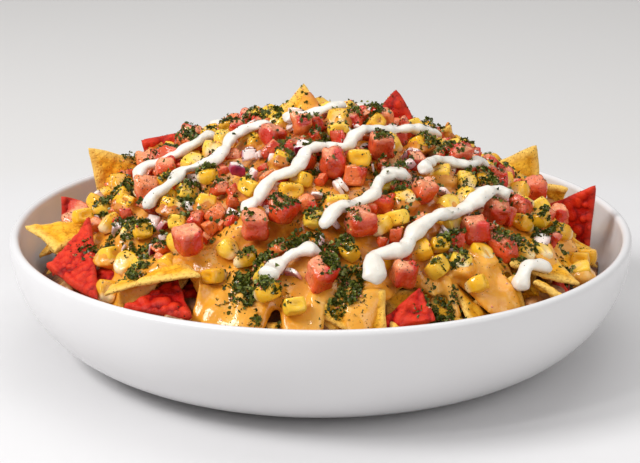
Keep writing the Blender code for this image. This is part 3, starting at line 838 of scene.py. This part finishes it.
def make_chips():
    """Every solid chip again, thin, blistered and a little warped."""
    colours = {row["node"]: row["material_slot"] for row in frame["record"]["subparts"]}
    made = {}
    for maize, paint in (("yellow_chip", yellow_paint()), ("red_chip", red_paint())):
        soup = Soup("blister", "edge")
        names = sorted(name for name, slot in colours.items() if slot == maize)
        for seed, name in enumerate(names):
            corners, bulge = corners_of(name)
            longest = np.linalg.norm(corners - np.roll(corners, 1, axis=0), axis=1).max()
            rows = int(np.clip(longest / CHIP_CELL, *CHIP_ROWS))
            add_chip(soup, corners, bulge, rows, seed, maize)
        made[maize] = soup.piece(maize + "s", paint, maize, *names)
    return made


def make_under_chips(chips):
    """Chips of the lower layers, which show in the gaps under the cheese and along the wall."""
    draw = draws("under_chips")
    soups = {maize: Soup("blister", "edge") for maize in chips}
    for number in range(UNDER_COUNT):
        angle = TAU * (number * UNDER_TURN)
        out = np.array((math.cos(angle), math.sin(angle), 0))
        radius, height = UNDER_RINGS[number % 3]
        radius += draw.uniform(-3, 3)
        height += draw.uniform(-3, 2.5)
        if radius * math.sin(angle) < FRONT_POOL:
            height -= 5
        side, tilt = draw.uniform(*UNDER_SIDES), draw.uniform(*UNDER_TILTS)
        turn = math.degrees(angle) + 90 + draw.uniform(-50, 50)
        thirds = np.array((0, 2.1, 4.2)) + draw.uniform(-0.2, 0.2, 3)
        shape = np.array([(math.cos(a), math.sin(a), 0) for a in thirds])
        turned = turn_matrix(turn, tilt, draw.uniform(0, 360))
        corners = shape @ turned.T * side * SIDE_TO_RADIUS
        corners += out * radius + (0, 0, height)
        for _ in range(UNDER_PUSHES):
            far = np.hypot(corners[:, 0], corners[:, 1])
            high = corners[:, 2] - (mound(corners[:, 0], corners[:, 1]) - 1.5)
            if (far > wall_inside(corners[:, 2]) - 2.5).any():
                corners -= out
            if (high > 0).any():
                corners[:, 2] -= 1.0
        red = draw.random() < UNDER_RED and corners[:, 1].mean() > FRONT_POOL
        maize = "red_chip" if red else "yellow_chip"
        add_chip(soups[maize], corners, draw.uniform(-2, 2), UNDER_ROWS, UNDER_SEED + number, maize)
    return [soup.piece("under_" + maize + "s", chips[maize].data.materials[0], maize)
            for maize, soup in soups.items()]


# ---------------- cheese

def cheese_edge(angle):
    """The cheese's reach by plan angle in radians, with a little waviness."""
    places, reaches = np.array(CHEESE_EDGE, float).T
    degrees = (np.degrees(angle) + 180) % 360 - 180
    reach = np.interp(degrees, places, reaches, period=360)
    return reach + 0.7 * np.sin(np.radians(degrees) * 31 + 1.3) + 0.6 * np.sin(np.radians(degrees) * 53)


def add_blanket(soup, ground):
    """The flowing sheet: a polar grid over the mound, raised where it covers chips."""
    angle = around(CHEESE_SPOKES)
    share = np.linspace(0.002, 1, CHEESE_RINGS)[:, None]
    x, y = wheel(share * cheese_edge(angle), angle)
    plan = np.stack([x, y], -1)
    top = mound(x, y) - CHEESE_SINK
    top += 1.5 * ripple(plan, 13, 3) + 0.9 * ripple(plan, 6.5, 4) + 0.35 * ripple(plan, 3.2, 5)
    cover = np.zeros(len(x))
    for cx, cy, reach in COATS:
        cover = np.maximum(cover, 1 - smooth_step(np.hypot(x - cx, y - cy), reach * 0.55, reach))
    touched = cover > 0
    under = top.copy()
    under[touched] = ground.tops(x[touched], y[touched])
    top -= laden(x, y, 2.1, 1.3)
    top += cover * np.clip(under + COAT_THICK - top, 0, COAT_RISE)
    share = np.repeat(share, CHEESE_SPOKES)
    droop = smooth_step(share, 0.95, 1.0)
    top -= 2.4 * droop
    bottom = top - CHEESE_THICK * (1 - 0.75 * droop) - 3 * (share < 0.8)
    faces = grid_faces(CHEESE_RINGS, CHEESE_SPOKES, wrap=True)
    count = len(x)
    rim = np.arange(count - CHEESE_SPOKES, count)
    beside = np.roll(rim, -1)
    soup.add(np.concatenate([np.stack([x, y, top], -1), np.stack([x, y, bottom], -1)]), faces)
    soup.faces += [faces[:, ::-1] + count, np.stack([rim + count, beside + count, beside, rim], -1)]
    soup.cap(0, CHEESE_SPOKES, flipped=True)
    soup.cap(count, CHEESE_SPOKES)


def drip_balls(angle, start, length, wide, foot):
    """Ball centres and radii down a drip, close to the heap's side."""
    direction = np.array((math.cos(math.radians(angle)), math.sin(math.radians(angle))))
    for step in np.linspace(0, 1, DRIP_BALLS):
        reach = start + length * (0.55 * step + 0.12 * math.sin(step * 3))
        height = mound(*(direction * min(reach, SHOULDER + 4))) - 2.6 - length * 0.5 * step**1.5
        radius = (wide * (1 - step) + foot * step) / 2 * (1 - 0.25 * math.sin(step * math.pi))
        reach = min(reach, wall_inside(height) - radius - 0.6)
        yield np.array((*(direction * reach), height)), radius


def make_cheese(ground, paint, covered):
    """Blanket, drips and covered kernels grown into one sauce and smoothed."""
    soup = Soup()
    add_blanket(soup, ground)
    ball, faces = block(5)
    for row in DRIPS:
        for centre, radius in drip_balls(*row):
            soup.add(rounded(ball, 1.0) * radius + centre, faces)
    for points, faces in covered:
        soup.add(points, faces)
    made = linked("melted_cheese", soup.mesh("melted_cheese"))
    melt = made.modifiers.new("Melt", "REMESH")
    melt.mode = "VOXEL"
    melt.voxel_size = CHEESE_VOXEL * MM
    soften = made.modifiers.new("Soften", "SMOOTH")
    soften.factor = 0.5
    soften.iterations = CHEESE_SMOOTH
    bpy.context.view_layer.update()
    graph = bpy.context.evaluated_depsgraph_get()
    mesh = bpy.data.meshes.new_from_object(made.evaluated_get(graph))
    made.modifiers.clear()
    made.data = mesh
    trim_hidden(mesh)
    mesh.polygons.foreach_set("use_smooth", np.ones(len(mesh.polygons), bool))
    x, y, _ = (mesh_points(mesh) / MM).T
    # Mark of tomato juice and painted shade between the toppings
    juice_and_shade = mesh.attributes.new("juice_and_shade", "FLOAT", "POINT")
    juice_and_shade.data.foreach_set("value", laden(x, y, JUICE_AND_SHADE, 1.25))
    mesh.materials.clear()
    mesh.materials.append(paint)
    return settled(made, "cheese_heap", "nacho_heap")


def trim_hidden(mesh):
    """Leaves out the sauce's underside where no view reaches it."""
    shape = bmesh.new()
    shape.from_mesh(mesh)
    shape.normal_update()
    gone = []
    for vertex in shape.verts:
        x, y, z = vertex.co / MM
        hidden = z < mound(x, y) - CHEESE_UNSEEN and math.hypot(x, y) < RIM_FROM
        if hidden and vertex.normal.z < 0:
            gone.append(vertex)
    bmesh.ops.delete(shape, geom=gone, context="VERTS")
    shape.to_mesh(mesh)
    shape.free()


def make_core():
    """The inside of the heap, brown under-layers painted dark as shade, which only shows deep in the gaps.
    """
    x, y = wheel(np.linspace(1, CORE_REACH, CORE_RINGS)[:, None], around(CORE_SPOKES))
    far = np.hypot(x, y)
    z = np.minimum(mound(x, y) - CORE_DEPTH, SKIRT_TOP - np.clip(far - SKIRT_FROM, 0, 99) * SKIRT_FALL)
    z += 1.6 * ripple(np.stack([x, y], -1), 9, 21)
    z = np.minimum(z, PEAK)
    inside = np.minimum(far, wall_inside(z) - 0.7)
    soup = Soup()
    soup.add(np.stack([x * inside / far, y * inside / far, z], -1),
             grid_faces(CORE_RINGS, CORE_SPOKES, wrap=True))
    return soup.piece("heap_core", shade_core_paint(), "cheese_heap")


def make_beans(ground, paint):
    """Cooked beans that show under the cheese near the rim."""
    draw = draws("beans")
    points, faces = block(6)
    shape = rounded(points, 0.9)
    soup = Soup()
    angles = draw.uniform(0.2, np.pi - 0.2, BACK_BEANS)
    back = [(radius * math.cos(a), radius * math.sin(a))
            for a, radius in zip(angles, draw.uniform(101, 108, BACK_BEANS))]
    for x, y in (*BEAN_SPOTS, *back):
        local = shape * (np.array(BEAN_SIZE) * draw.uniform(0.85, 1.15))
        local[:, 1] += 0.09 * local[:, 0] ** 2 - 1
        height = min(ground.top(x, y, 42.0) + 0.5, float(mound(x, y)) - 3.5)
        placed = local @ turn_matrix(draw.uniform(0, 360), draw.uniform(-25, 25)).T + (x, y, height)
        soup.add(placed, faces)
    return soup.piece("beans", paint, "cheese_heap")


# ---------------- toppings

def kernel_points(seed, grow=0.0):
    """A sweetcorn kernel: a rounded wedge with a dimpled crown and a pale tip."""
    draw = np.random.default_rng(seed)
    points, faces = block(8)
    local = rounded(points, 0.6)
    x, y, z = local.T.copy()
    size = np.array(KERNEL_SIZE) * draw.uniform(0.9, 1.1) * draw.uniform(0.94, 1.06, 3)
    crown = np.exp(-((x / 0.42) ** 2 + (y / 0.36) ** 2)) * smooth_step(z, 0.2, 0.8)
    germ = np.exp(-((x / 0.34) ** 2 + ((z + 0.35) / 0.45) ** 2)) * smooth_step(y, 0.2, 0.8)
    local[:, :2] *= (1 - 0.34 * smooth_step(-z, -0.1, 1.0))[:, None]
    local[:, 2] -= 0.32 * crown
    local[:, 1] -= 0.3 * germ
    local = local * (size + grow)
    local += 0.16 * wobble(local, 4, seed)
    return local, faces, np.clip(smooth_step(-z, 0.35, 0.8) + 0.85 * germ, 0, 1)


def make_kernels(bed, rows, loose):
    """Sweetcorn: the solid kernels again, then the others pressed into the heap."""
    soup = Soup("tone", "pale")
    covered = []
    draw = draws("kernels")
    for number, (name, turn, tip) in enumerate(SOLID_KERNELS):
        local, faces, pale = kernel_points(number)
        soup.add(local @ turn_matrix(turn, tip).T + centre_of(name), faces,
                 tone=draw.uniform(0.35, 0.9), pale=pale)
    for number, (x, y, turn, tip, coat) in enumerate(rows + loose):
        local, faces, pale = kernel_points(KERNEL_SEED + number)
        sunk = KERNEL_SUNK[number >= len(rows)]
        centre = np.array((x, y, bed.height(x, y, LOOSE_KERNEL, sunk)))
        turned = turn_matrix(turn, tip, draw.uniform(-25, 25)).T
        soup.add(local @ turned + centre, faces, tone=draw.uniform(0.0, 1.0), pale=pale)
        if coat:
            thick = kernel_points(KERNEL_SEED + number, 0.35)[0] @ turned
            thick[:, :2] *= np.where(thick[:, 2] < 0, 1.35, 1.0)[:, None]
            covered.append((thick + centre - (0, 0, 0.6), faces))
    return soup, covered


def pale_and_lit_faces(template, turned, draw):
    """How pale the cut flesh is painted: more on faces that look up, as painted light, and different on
    each face.
    """
    axis = np.abs(template).argmax(1)
    side = np.sign(template[np.arange(len(template)), axis])
    shade = draw.uniform(0.3, 1.0, 6)[axis * 2 + (side > 0)]
    return smooth_step(turned[axis, 2] * side, 0.1, 0.9) * shade


def wet_lump(local, seed):
    """Uneven cut faces: soft dents and fine relief along the surface."""
    dents = 0.6 * ripple(local, 4, seed) + 0.32 * ripple(local, 1.9, seed + 90)
    return local + unit(local) * dents[:, None]


def make_dice(bed, paint, rows, loose):
    """Tomato: the solid dice made wet and uneven, then smaller ones beside them."""
    soup = Soup("tone", "pale", "skin")
    draw = draws("dice")
    names = sorted(name for name in frame["nodes"] if name.startswith("tomato_"))
    template, faces = block(9)
    ways = unit(rounded(template, 0.45))
    for number, name in enumerate(names):
        mesh = frame["nodes"][name].data
        points = mesh_points(mesh) / MM
        tree = ray_tree(points, mesh)
        centre = (points.max(0) + points.min(0)) / 2
        hits = [tree.ray_cast(Vector(centre), Vector(way)) for way in ways]
        far = np.array([hit[3] if hit[0] is not None else 4.0 for hit in hits])
        far = far * 0.72 + far.mean() * 0.28
        local = wet_lump(ways * far[:, None] * 0.95, number)
        # Paler on faces that look up and on those towards the light on the left: painted light on the cut
        # flesh, with a random share for each dice
        pale = smooth_step(ways[:, 2], 0.3, 0.75) * draw.uniform(0.45, 1.0)
        pale = np.maximum(pale, smooth_step(-ways[:, 0], 0.35, 0.8) * draw.uniform(0.0, 0.5))
        skin = smooth_step(ways @ random_turns(1, draw)[0][0], 0.66, 0.76)
        soup.add(local + centre, faces, tone=draw.uniform(0, 1) ** 1.5, pale=pale, skin=skin)
    for number, (x, y, edge, turn, tip) in enumerate(rows + loose):
        is_loose = number >= len(rows)
        template, faces = block(6 if is_loose else 8)
        local = rounded(template, 0.34) * edge / 2 * draw.uniform(0.82, 1.12, 3)
        local = wet_lump(skewed(local, 0.13, draw), number + 40)
        turned = turn_matrix(turn, tip)
        # Paler on the faces that look up: painted light on the cut flesh
        pale = pale_and_lit_faces(template, turned.T, draw)
        skin = smooth_step(template @ random_turns(1, draw)[0][0], 0.75, 1.0) * 0.9
        placed = local @ turned.T + (x, y, bed.height(x, y, edge, DICE_SUNK[is_loose]))
        soup.add(placed, faces, tone=draw.uniform(0, 1) ** 1.5, pale=pale, skin=skin)
    return soup.piece("tomato_dice", paint, "tomato_flesh", *names)


def make_onions(bed, paint, rows):
    """Chopped red onion: short bent layers, purple on the outer side."""
    soup = Soup("rind")
    draw = draws("onions")
    template, faces = block(6)
    shape = rounded(template, 0.36)
    ends = np.abs(shape[:, 0])
    outside = np.maximum(smooth_step(-shape[:, 1], 0.2, 0.9) * 0.95, 0.55 * smooth_step(ends, 0.7, 0.95))
    purples = (outside, 0.3 * smooth_step(ends, 0.6, 1.0))
    for number, (x, y, size, turn, tip, purple) in enumerate(rows):
        height = bed.height(x, y, size, ONION_SUNK)
        for layer in range(2 if draw.random() < 0.3 else 1):
            local = shape * (size * 0.46, size * 0.16, size * 0.38) * draw.uniform(0.85, 1.1, 3)
            local = skewed(local, 0.1, draw)
            local[:, 1] += (layer - 0.5) * size * 0.34
            local[:, 1] -= 0.085 * local[:, 0] ** 2
            local += 0.24 * wobble(local, 3.0, number)
            streaks = 0.2 * (ripple(local, 4, number + 9) > 0.7)
            rind = np.clip((purples[layer] + streaks) * purple, 0, 1)
            placed = local @ turn_matrix(turn, tip + 14 * layer).T + (x, y, height)
            soup.add(placed, faces, rind=rind)
    return soup.piece("onion_bits", paint, "tomato_flesh")


def disc_place(draw, x, y, reach):
    """A random plan place within reach of another."""
    far, way = reach * math.sqrt(draw.random()), draw.uniform(0, TAU)
    return x + far * math.cos(way), y + far * math.sin(way)


def fill_zones(bed):
    """The larger toppings: each zone's share of sweetcorn, tomato and onion, where there is room."""
    low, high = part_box("kernel_04")
    x, y, _ = (low + high) / 2 / MM
    aside, behind, size, *rest = VIVID_ONION
    onions = [(x + aside, y + behind, size, *rest)]
    bed.take(x + aside, y + behind, size)
    dice, kernels = [], []
    for number, (x, y, reach, *counts) in enumerate(ZONES):
        draw = draws("zones", number)
        for kind in draw.permutation(np.repeat(("corn", "dice", "onion"), counts)):
            size = {"corn": KERNEL_ROOM, "dice": draw.uniform(*DICE_SIZES),
                    "onion": draw.uniform(*ONION_SIZES)}[kind]
            for _ in range(PLACE_TRIES):
                px, py = disc_place(draw, x, y, reach)
                if math.hypot(px, py) < TOPPING_REACH and bed.room(px, py, size, ZONE_ROOM):
                    break
            else:
                continue
            bed.take(px, py, size)
            turn = draw.uniform(0, 360)
            if kind == "corn":
                kernels.append((px, py, turn, draw.uniform(55, 85), draw.random() < 0.2))
            elif kind == "dice":
                dice.append((px, py, size, turn, draw.uniform(10, 30)))
            else:
                purple = draw.choice((0.2, 0.5, 0.8, 1.1, 1.1))
                onions.append((px, py, size, turn, draw.uniform(20, 50), purple))
    return dice, onions, kernels


def scatter_loose(bed):
    """Fills the heap between the larger toppings: smaller dice, onion bits and sunk kernels."""
    draw = draws("loose")
    dice, onions, kernels = [], [], []
    for _ in range(LOOSE_TRIES):
        x, y = disc_place(draw, 0, 0, LOOSE_REACH)
        kind, size = draw.random(), draw.uniform(*LOOSE_SIZES)
        bare = any(math.hypot(x - bx, y - by) < reach for bx, by, reach in BARE)
        needed = size if kind < ONION_SHARE else LOOSE_KERNEL
        if bare or not bed.room(x, y, needed, LOOSE_ROOM):
            continue
        turn, tip = draw.uniform(0, 360), draw.uniform(5, 50)
        if kind < DICE_SHARE:
            dice.append((x, y, size, turn, tip))
        elif kind < ONION_SHARE:
            onions.append((x, y, size * 0.95, turn, tip, draw.choice((0.2, 0.5, 0.9, 1.1))))
            size *= 0.9
        else:
            kernels.append((x, y, turn, tip + 30, draw.random() < 0.35))
            size = LOOSE_KERNEL
        bed.take(x, y, size)
    return dice, onions, kernels


def smooth_route(points, spacing):
    """Plan points at an even spacing on a smooth curve through given points."""
    points = np.array(points, float)
    ends = np.concatenate([[points[0] * 2 - points[1]], points, [points[-1] * 2 - points[-2]]])
    t = np.linspace(0, 1, 20, endpoint=False)[:, None]
    dense = [0.5 * (2 * b + (c - a) * t + (2 * a - 5 * b + 4 * c - d) * t**2
                    + (3 * b - a - 3 * c + d) * t**3)
             for a, b, c, d in zip(ends, ends[1:], ends[2:], ends[3:])]
    dense = np.concatenate(dense + [points[-1:]])
    walked = np.concatenate([[0], np.cumsum(np.linalg.norm(np.diff(dense, axis=0), axis=1))])
    even = np.linspace(0, walked[-1], max(3, int(walked[-1] / spacing)))
    return np.stack([np.interp(even, walked, dense[:, k]) for k in range(2)], -1), even


def strand_heights(name, plan):
    """Centre heights along a strand: the solid strand's, or lying on the heap where it has none."""
    if name is None:
        heights = mound(plan[:, 0], plan[:, 1]) + 3.0
    else:
        solid = Ground(frame["nodes"][name])
        found = [solid.top(x, y) for x, y in plan]
        known = [i for i, top in enumerate(found) if top is not None]
        heights = np.interp(np.arange(len(plan)), known, [found[i] for i in known]) - SOLID_CREAM_RADIUS
    return np.convolve(np.pad(heights, 3, mode="edge"), np.ones(7) / 7, mode="valid")


def make_cream(paint):
    """Sour cream: uneven ropes on the routes of the solid strands, with a blob at each start."""
    soup = Soup()
    angle = around(CREAM_SIDES)[:, None]
    courses = []
    for number, (name, wide, route) in enumerate(STRANDS):
        plan, walked = smooth_route(route, CREAM_SPACING)
        swell = 1 + 0.13 * np.sin(walked / 2.7 + number) + 0.08 * np.sin(walked / 1.1 + 2 * number)
        swell += 0.28 * np.exp(-((walked - 2.5) / 3.0) ** 2)
        swell *= np.sqrt(np.clip(np.minimum(walked, walked[-1] - walked) / 2.6, 0.02, 1))
        radius = wide * swell
        centre = np.concatenate([plan, strand_heights(name, plan)[:, None]], 1)
        courses.append(centre)
        way = unit(np.gradient(centre, axis=0))
        side = unit(np.cross(way, (0, 0, 1)))
        up = np.cross(side, way)
        ring = side[:, None] * np.cos(angle) * CREAM_WIDE + up[:, None] * np.sin(angle) * CREAM_FLAT
        points = (centre[:, None] + ring * radius[:, None, None]).reshape(-1, 3)
        points += 0.36 * wobble(points, 3.8, number, 7)
        points += 0.14 * wobble(points, 1.8, number, 9)
        start = soup.count
        soup.add(points, grid_faces(len(plan), CREAM_SIDES, wrap=True)[:, ::-1])
        soup.cap(start, CREAM_SIDES)
        soup.cap(soup.count - CREAM_SIDES, CREAM_SIDES, flipped=True)
    replaced = [name for name, *_ in STRANDS if name]
    return soup.piece("cream_strands", paint, "sour_cream", *replaced), np.concatenate(courses)


def patch_places(draw, count, x, y, reach):
    """Plan places in an uneven patch: mostly inside its reach, some strewn around it."""
    far = reach * np.where(draw.random(count) < 0.12, draw.uniform(0.9, 1.8, count),
                           np.sqrt(draw.random(count)))
    way = draw.uniform(0, TAU, count)
    lean = draw.uniform(0, np.pi)
    along, across = far * np.cos(way) * 1.2, far * np.sin(way) * 0.85
    px = x + along * math.cos(lean) - across * math.sin(lean)
    py = y + along * math.sin(lean) + across * math.cos(lean)
    keep = ripple(np.stack([px, py], -1), 3.6, 61) > -0.55
    return px[keep], py[keep], np.clip(1 - far[keep] / (reach * 1.3), 0, 1)


def patch_bits(draw, patches, cream, on_cream):
    """Each patch's places clear of the cream, but for a share, with how far inside each lies."""
    for x, y, reach, count, thick in patches:
        px, py, inner = patch_places(draw, count, x, y, reach)
        clear = ~cream.over(px, py)
        if on_cream:
            clear |= draw.random(len(px)) < on_cream
        clear &= np.hypot(px, py) < BIT_REACH
        yield px[clear], py[clear], inner[clear], thick


def strew(soup, places, shapes, faces, tone, turns):
    """Adds a turned shape of its own at each place."""
    placed = np.einsum("nij,nkj->nki", turns, shapes) + places[:, None]
    index = (np.arange(len(places)) * shapes.shape[1])[:, None, None] + faces
    soup.add(placed.reshape(-1, 3), index.reshape(-1, 3), tone=tone)


def leaf_fans(count, draw):
    """Crumpled leaf bits: a middle point with uneven rim points, about one unit across."""
    angle = around(LEAF_SIDES) + draw.uniform(-0.3, 0.3, (count, LEAF_SIDES))
    reach = draw.uniform(0.25, 0.6, (count, LEAF_SIDES))
    curl = draw.uniform(-0.28, 0.34, (count, LEAF_SIDES))
    rim = np.stack([reach * np.cos(angle), reach * np.sin(angle) * 0.75, curl], -1)
    return np.concatenate([np.zeros((count, 1, 3)), rim], axis=1)


def make_herbs(ground, cream, paint):
    """Chopped herb in moist patches of small crumpled leaf bits, and single bits strewn about."""
    draw = draws("herbs")
    soup = Soup("tone")
    faces = np.array([(0, k + 1, (k + 1) % LEAF_SIDES + 1) for k in range(LEAF_SIDES)])
    patches = [(x, y, reach, int(HERB_DENSITY * reach**2 * thick), thick)
               for x, y, reach, thick in HERBS]
    radius = SMALL_REACH * np.sqrt(draw.random(SMALL_PATCHES))
    patches += [(r * math.cos(a), r * math.sin(a), 3.4, 26, 0.7)
                for r, a in zip(radius, draw.uniform(0, TAU, SMALL_PATCHES))]
    patches.append((0, 0, 60, 900, 0.2))
    for px, py, inner, thick in patch_bits(draw, patches, cream, 0.02):
        count = len(px)
        lift = draw.random(count) ** 0.8 * HERB_LIFT * thick * inner
        places = np.stack([px, py, ground.tops(px, py) + lift + 0.15], -1)
        turns = random_turns(count, draw)
        shapes = leaf_fans(count, draw) * draw.uniform(0.9, 2.5, count)[:, None, None]
        # Random tone, lighter for bits high in the patch as painted highlight and darker low down as
        # painted shade
        tone = draw.beta(1.6, 2.0, count) * (0.45 + 0.5 * lift / HERB_LIFT)
        # Leaf rims painted lighter and centres darker, as painted highlight
        painted_rim_light = np.array([-0.08] + [0.1] * LEAF_SIDES)
        tone = tone[:, None] + painted_rim_light + draw.uniform(-0.1, 0.1, (count, LEAF_SIDES + 1))
        strew(soup, places, shapes, faces, np.clip(tone, 0, 1).ravel(), turns)
    return soup.piece("herb_bits", paint, "tomato_flesh")


def make_pebbles(name, places, smallest, largest, draw, paint):
    """Small angular bits: an eight-sided crystal for each place."""
    soup = Soup("tone")
    corners = np.repeat(np.eye(3), 2, axis=0) * np.array((1, -1) * 3)[:, None]
    faces = np.array([(0, 2, 4), (2, 1, 4), (1, 3, 4), (3, 0, 4), (2, 0, 5), (1, 2, 5), (3, 1, 5),
                      (0, 3, 5)])
    count = len(places)
    sizes = draw.uniform(smallest, largest, count)[:, None]
    tone = np.repeat(draw.random(count), len(corners))
    turns = random_turns(count, draw)
    shapes = corners * (sizes * draw.uniform(0.6, 1.2, (count, 3)))[:, None]
    strew(soup, places, shapes, faces, tone, turns)
    return soup.piece(name, paint, "tomato_flesh")


def make_crumbs(ground, cream, paint):
    """Pink and pale crumbs of tomato, onion and corn, thickest in the herb patches."""
    draw = draws("crumbs")
    places = []
    patches = [(x, y, reach, int(CRUMB_DENSITY * reach**2), thick) for x, y, reach, thick in HERBS]
    patches.append((0, 0, 70, 900, 0.1))
    for px, py, inner, thick in patch_bits(draw, patches, cream, 0):
        pz = ground.tops(px, py) + draw.random(len(px)) * 2.3 * thick * inner
        places.append(np.stack([px, py, pz], -1))
    return make_pebbles("crumbs", np.concatenate(places), 0.25, 0.7, draw, paint)


def make_specks(ground, cream, paint):
    """Fine dried herb and pepper sprinkled over everything."""
    draw = draws("specks")
    far = SPECK_REACH * np.sqrt(draw.random(SPECK_COUNT))
    px, py = wheel(far, draw.uniform(0, TAU, SPECK_COUNT))
    keep = ripple(np.stack([px, py], -1), 14, 2) > -0.7 + 1.2 * smooth_step(far, 80, SPECK_REACH)
    keep &= ~cream.over(px, py) | (draw.random(SPECK_COUNT) < 0.05)
    px, py = px[keep], py[keep]
    places = np.stack([px, py, ground.tops(px, py)], -1)
    return make_pebbles("specks", places, 0.14, 0.4, draw, paint)


# ---------------- stage

def make_stage():
    """A pale floor, soft light from the left and the camera."""
    mesh = bpy.data.meshes.new("floor")
    corners = [(x * FLOOR_HALF, y * FLOOR_HALF, 0) for x, y in ((-1, -1), (1, -1), (1, 1), (-1, 1))]
    mesh.from_pydata(corners, [], [(0, 1, 2, 3)])
    mesh.materials.append(floor_paint())
    floor = linked("floor", mesh)

    for name, (place, size, watts) in LIGHTS.items():
        light = bpy.data.lights.new(name, "AREA")
        light.size = size
        light.energy = watts
        lamp = linked(name, light)
        lamp.location = place
        lamp.rotation_euler = (Vector((0, 0, 0.05)) - Vector(place)).to_track_quat("-Z", "Y").to_euler()

    world = bpy.data.worlds.new("studio")
    world.use_nodes = True
    sky = world.node_tree.nodes["Background"]
    sky.inputs["Color"].default_value = (1.0, 0.99, 0.98, 1)
    sky.inputs["Strength"].default_value = SKY_STRENGTH
    scene.world = world
    scene.view_settings.view_transform = "Standard"

    camera = bpy.data.cameras.new("camera")
    camera.sensor_width = 36
    camera.lens = 99.7
    camera.shift_x = -0.00125
    camera.clip_start = 0.05
    seat = linked("camera", camera)
    rise = math.radians(CAMERA_RISE)
    seat.location = (0, -CAMERA_AWAY * math.cos(rise),
                     cad_low.z + BOWL_HEIGHT * MM + CAMERA_AWAY * math.sin(rise))
    seat.rotation_euler = (math.radians(90 - CAMERA_DIP), 0, 0)
    bpy.context.scene.camera = seat


def main():
    make_stage()
    make_bowl()
    chips = make_chips()
    make_core()
    ground = Ground(*chips.values(), *make_under_chips(chips))
    make_beans(ground, bean_paint())

    strands, courses = make_cream(cream_paint())
    cream = Ground(strands)
    bed = Bed(courses)
    for name, *_ in SOLID_KERNELS:
        bed.take(*centre_of(name)[:2], KERNEL_ROOM)
    for name in frame["nodes"]:
        if name.startswith("tomato_"):
            bed.take(*centre_of(name)[:2], DICE_ROOM)
    big_dice, big_onions, big_kernels = fill_zones(bed)
    loose_dice, loose_onions, loose_kernels = scatter_loose(bed)

    kernels, covered = make_kernels(bed, big_kernels, loose_kernels)
    cheese = make_cheese(ground, cheese_paint(), covered)
    corn = kernels.piece("corn_kernels", corn_paint(), "corn_kernel", *[row[0] for row in SOLID_KERNELS])
    dice = make_dice(bed, tomato_paint(), big_dice, loose_dice)
    onions = make_onions(bed, onion_paint(), big_onions + loose_onions)
    ground.add(cheese, corn, dice, onions, strands)
    make_herbs(ground, cream, herb_paint())
    make_crumbs(ground, cream, crumb_paint())
    make_specks(ground, cream, speck_paint())


main()
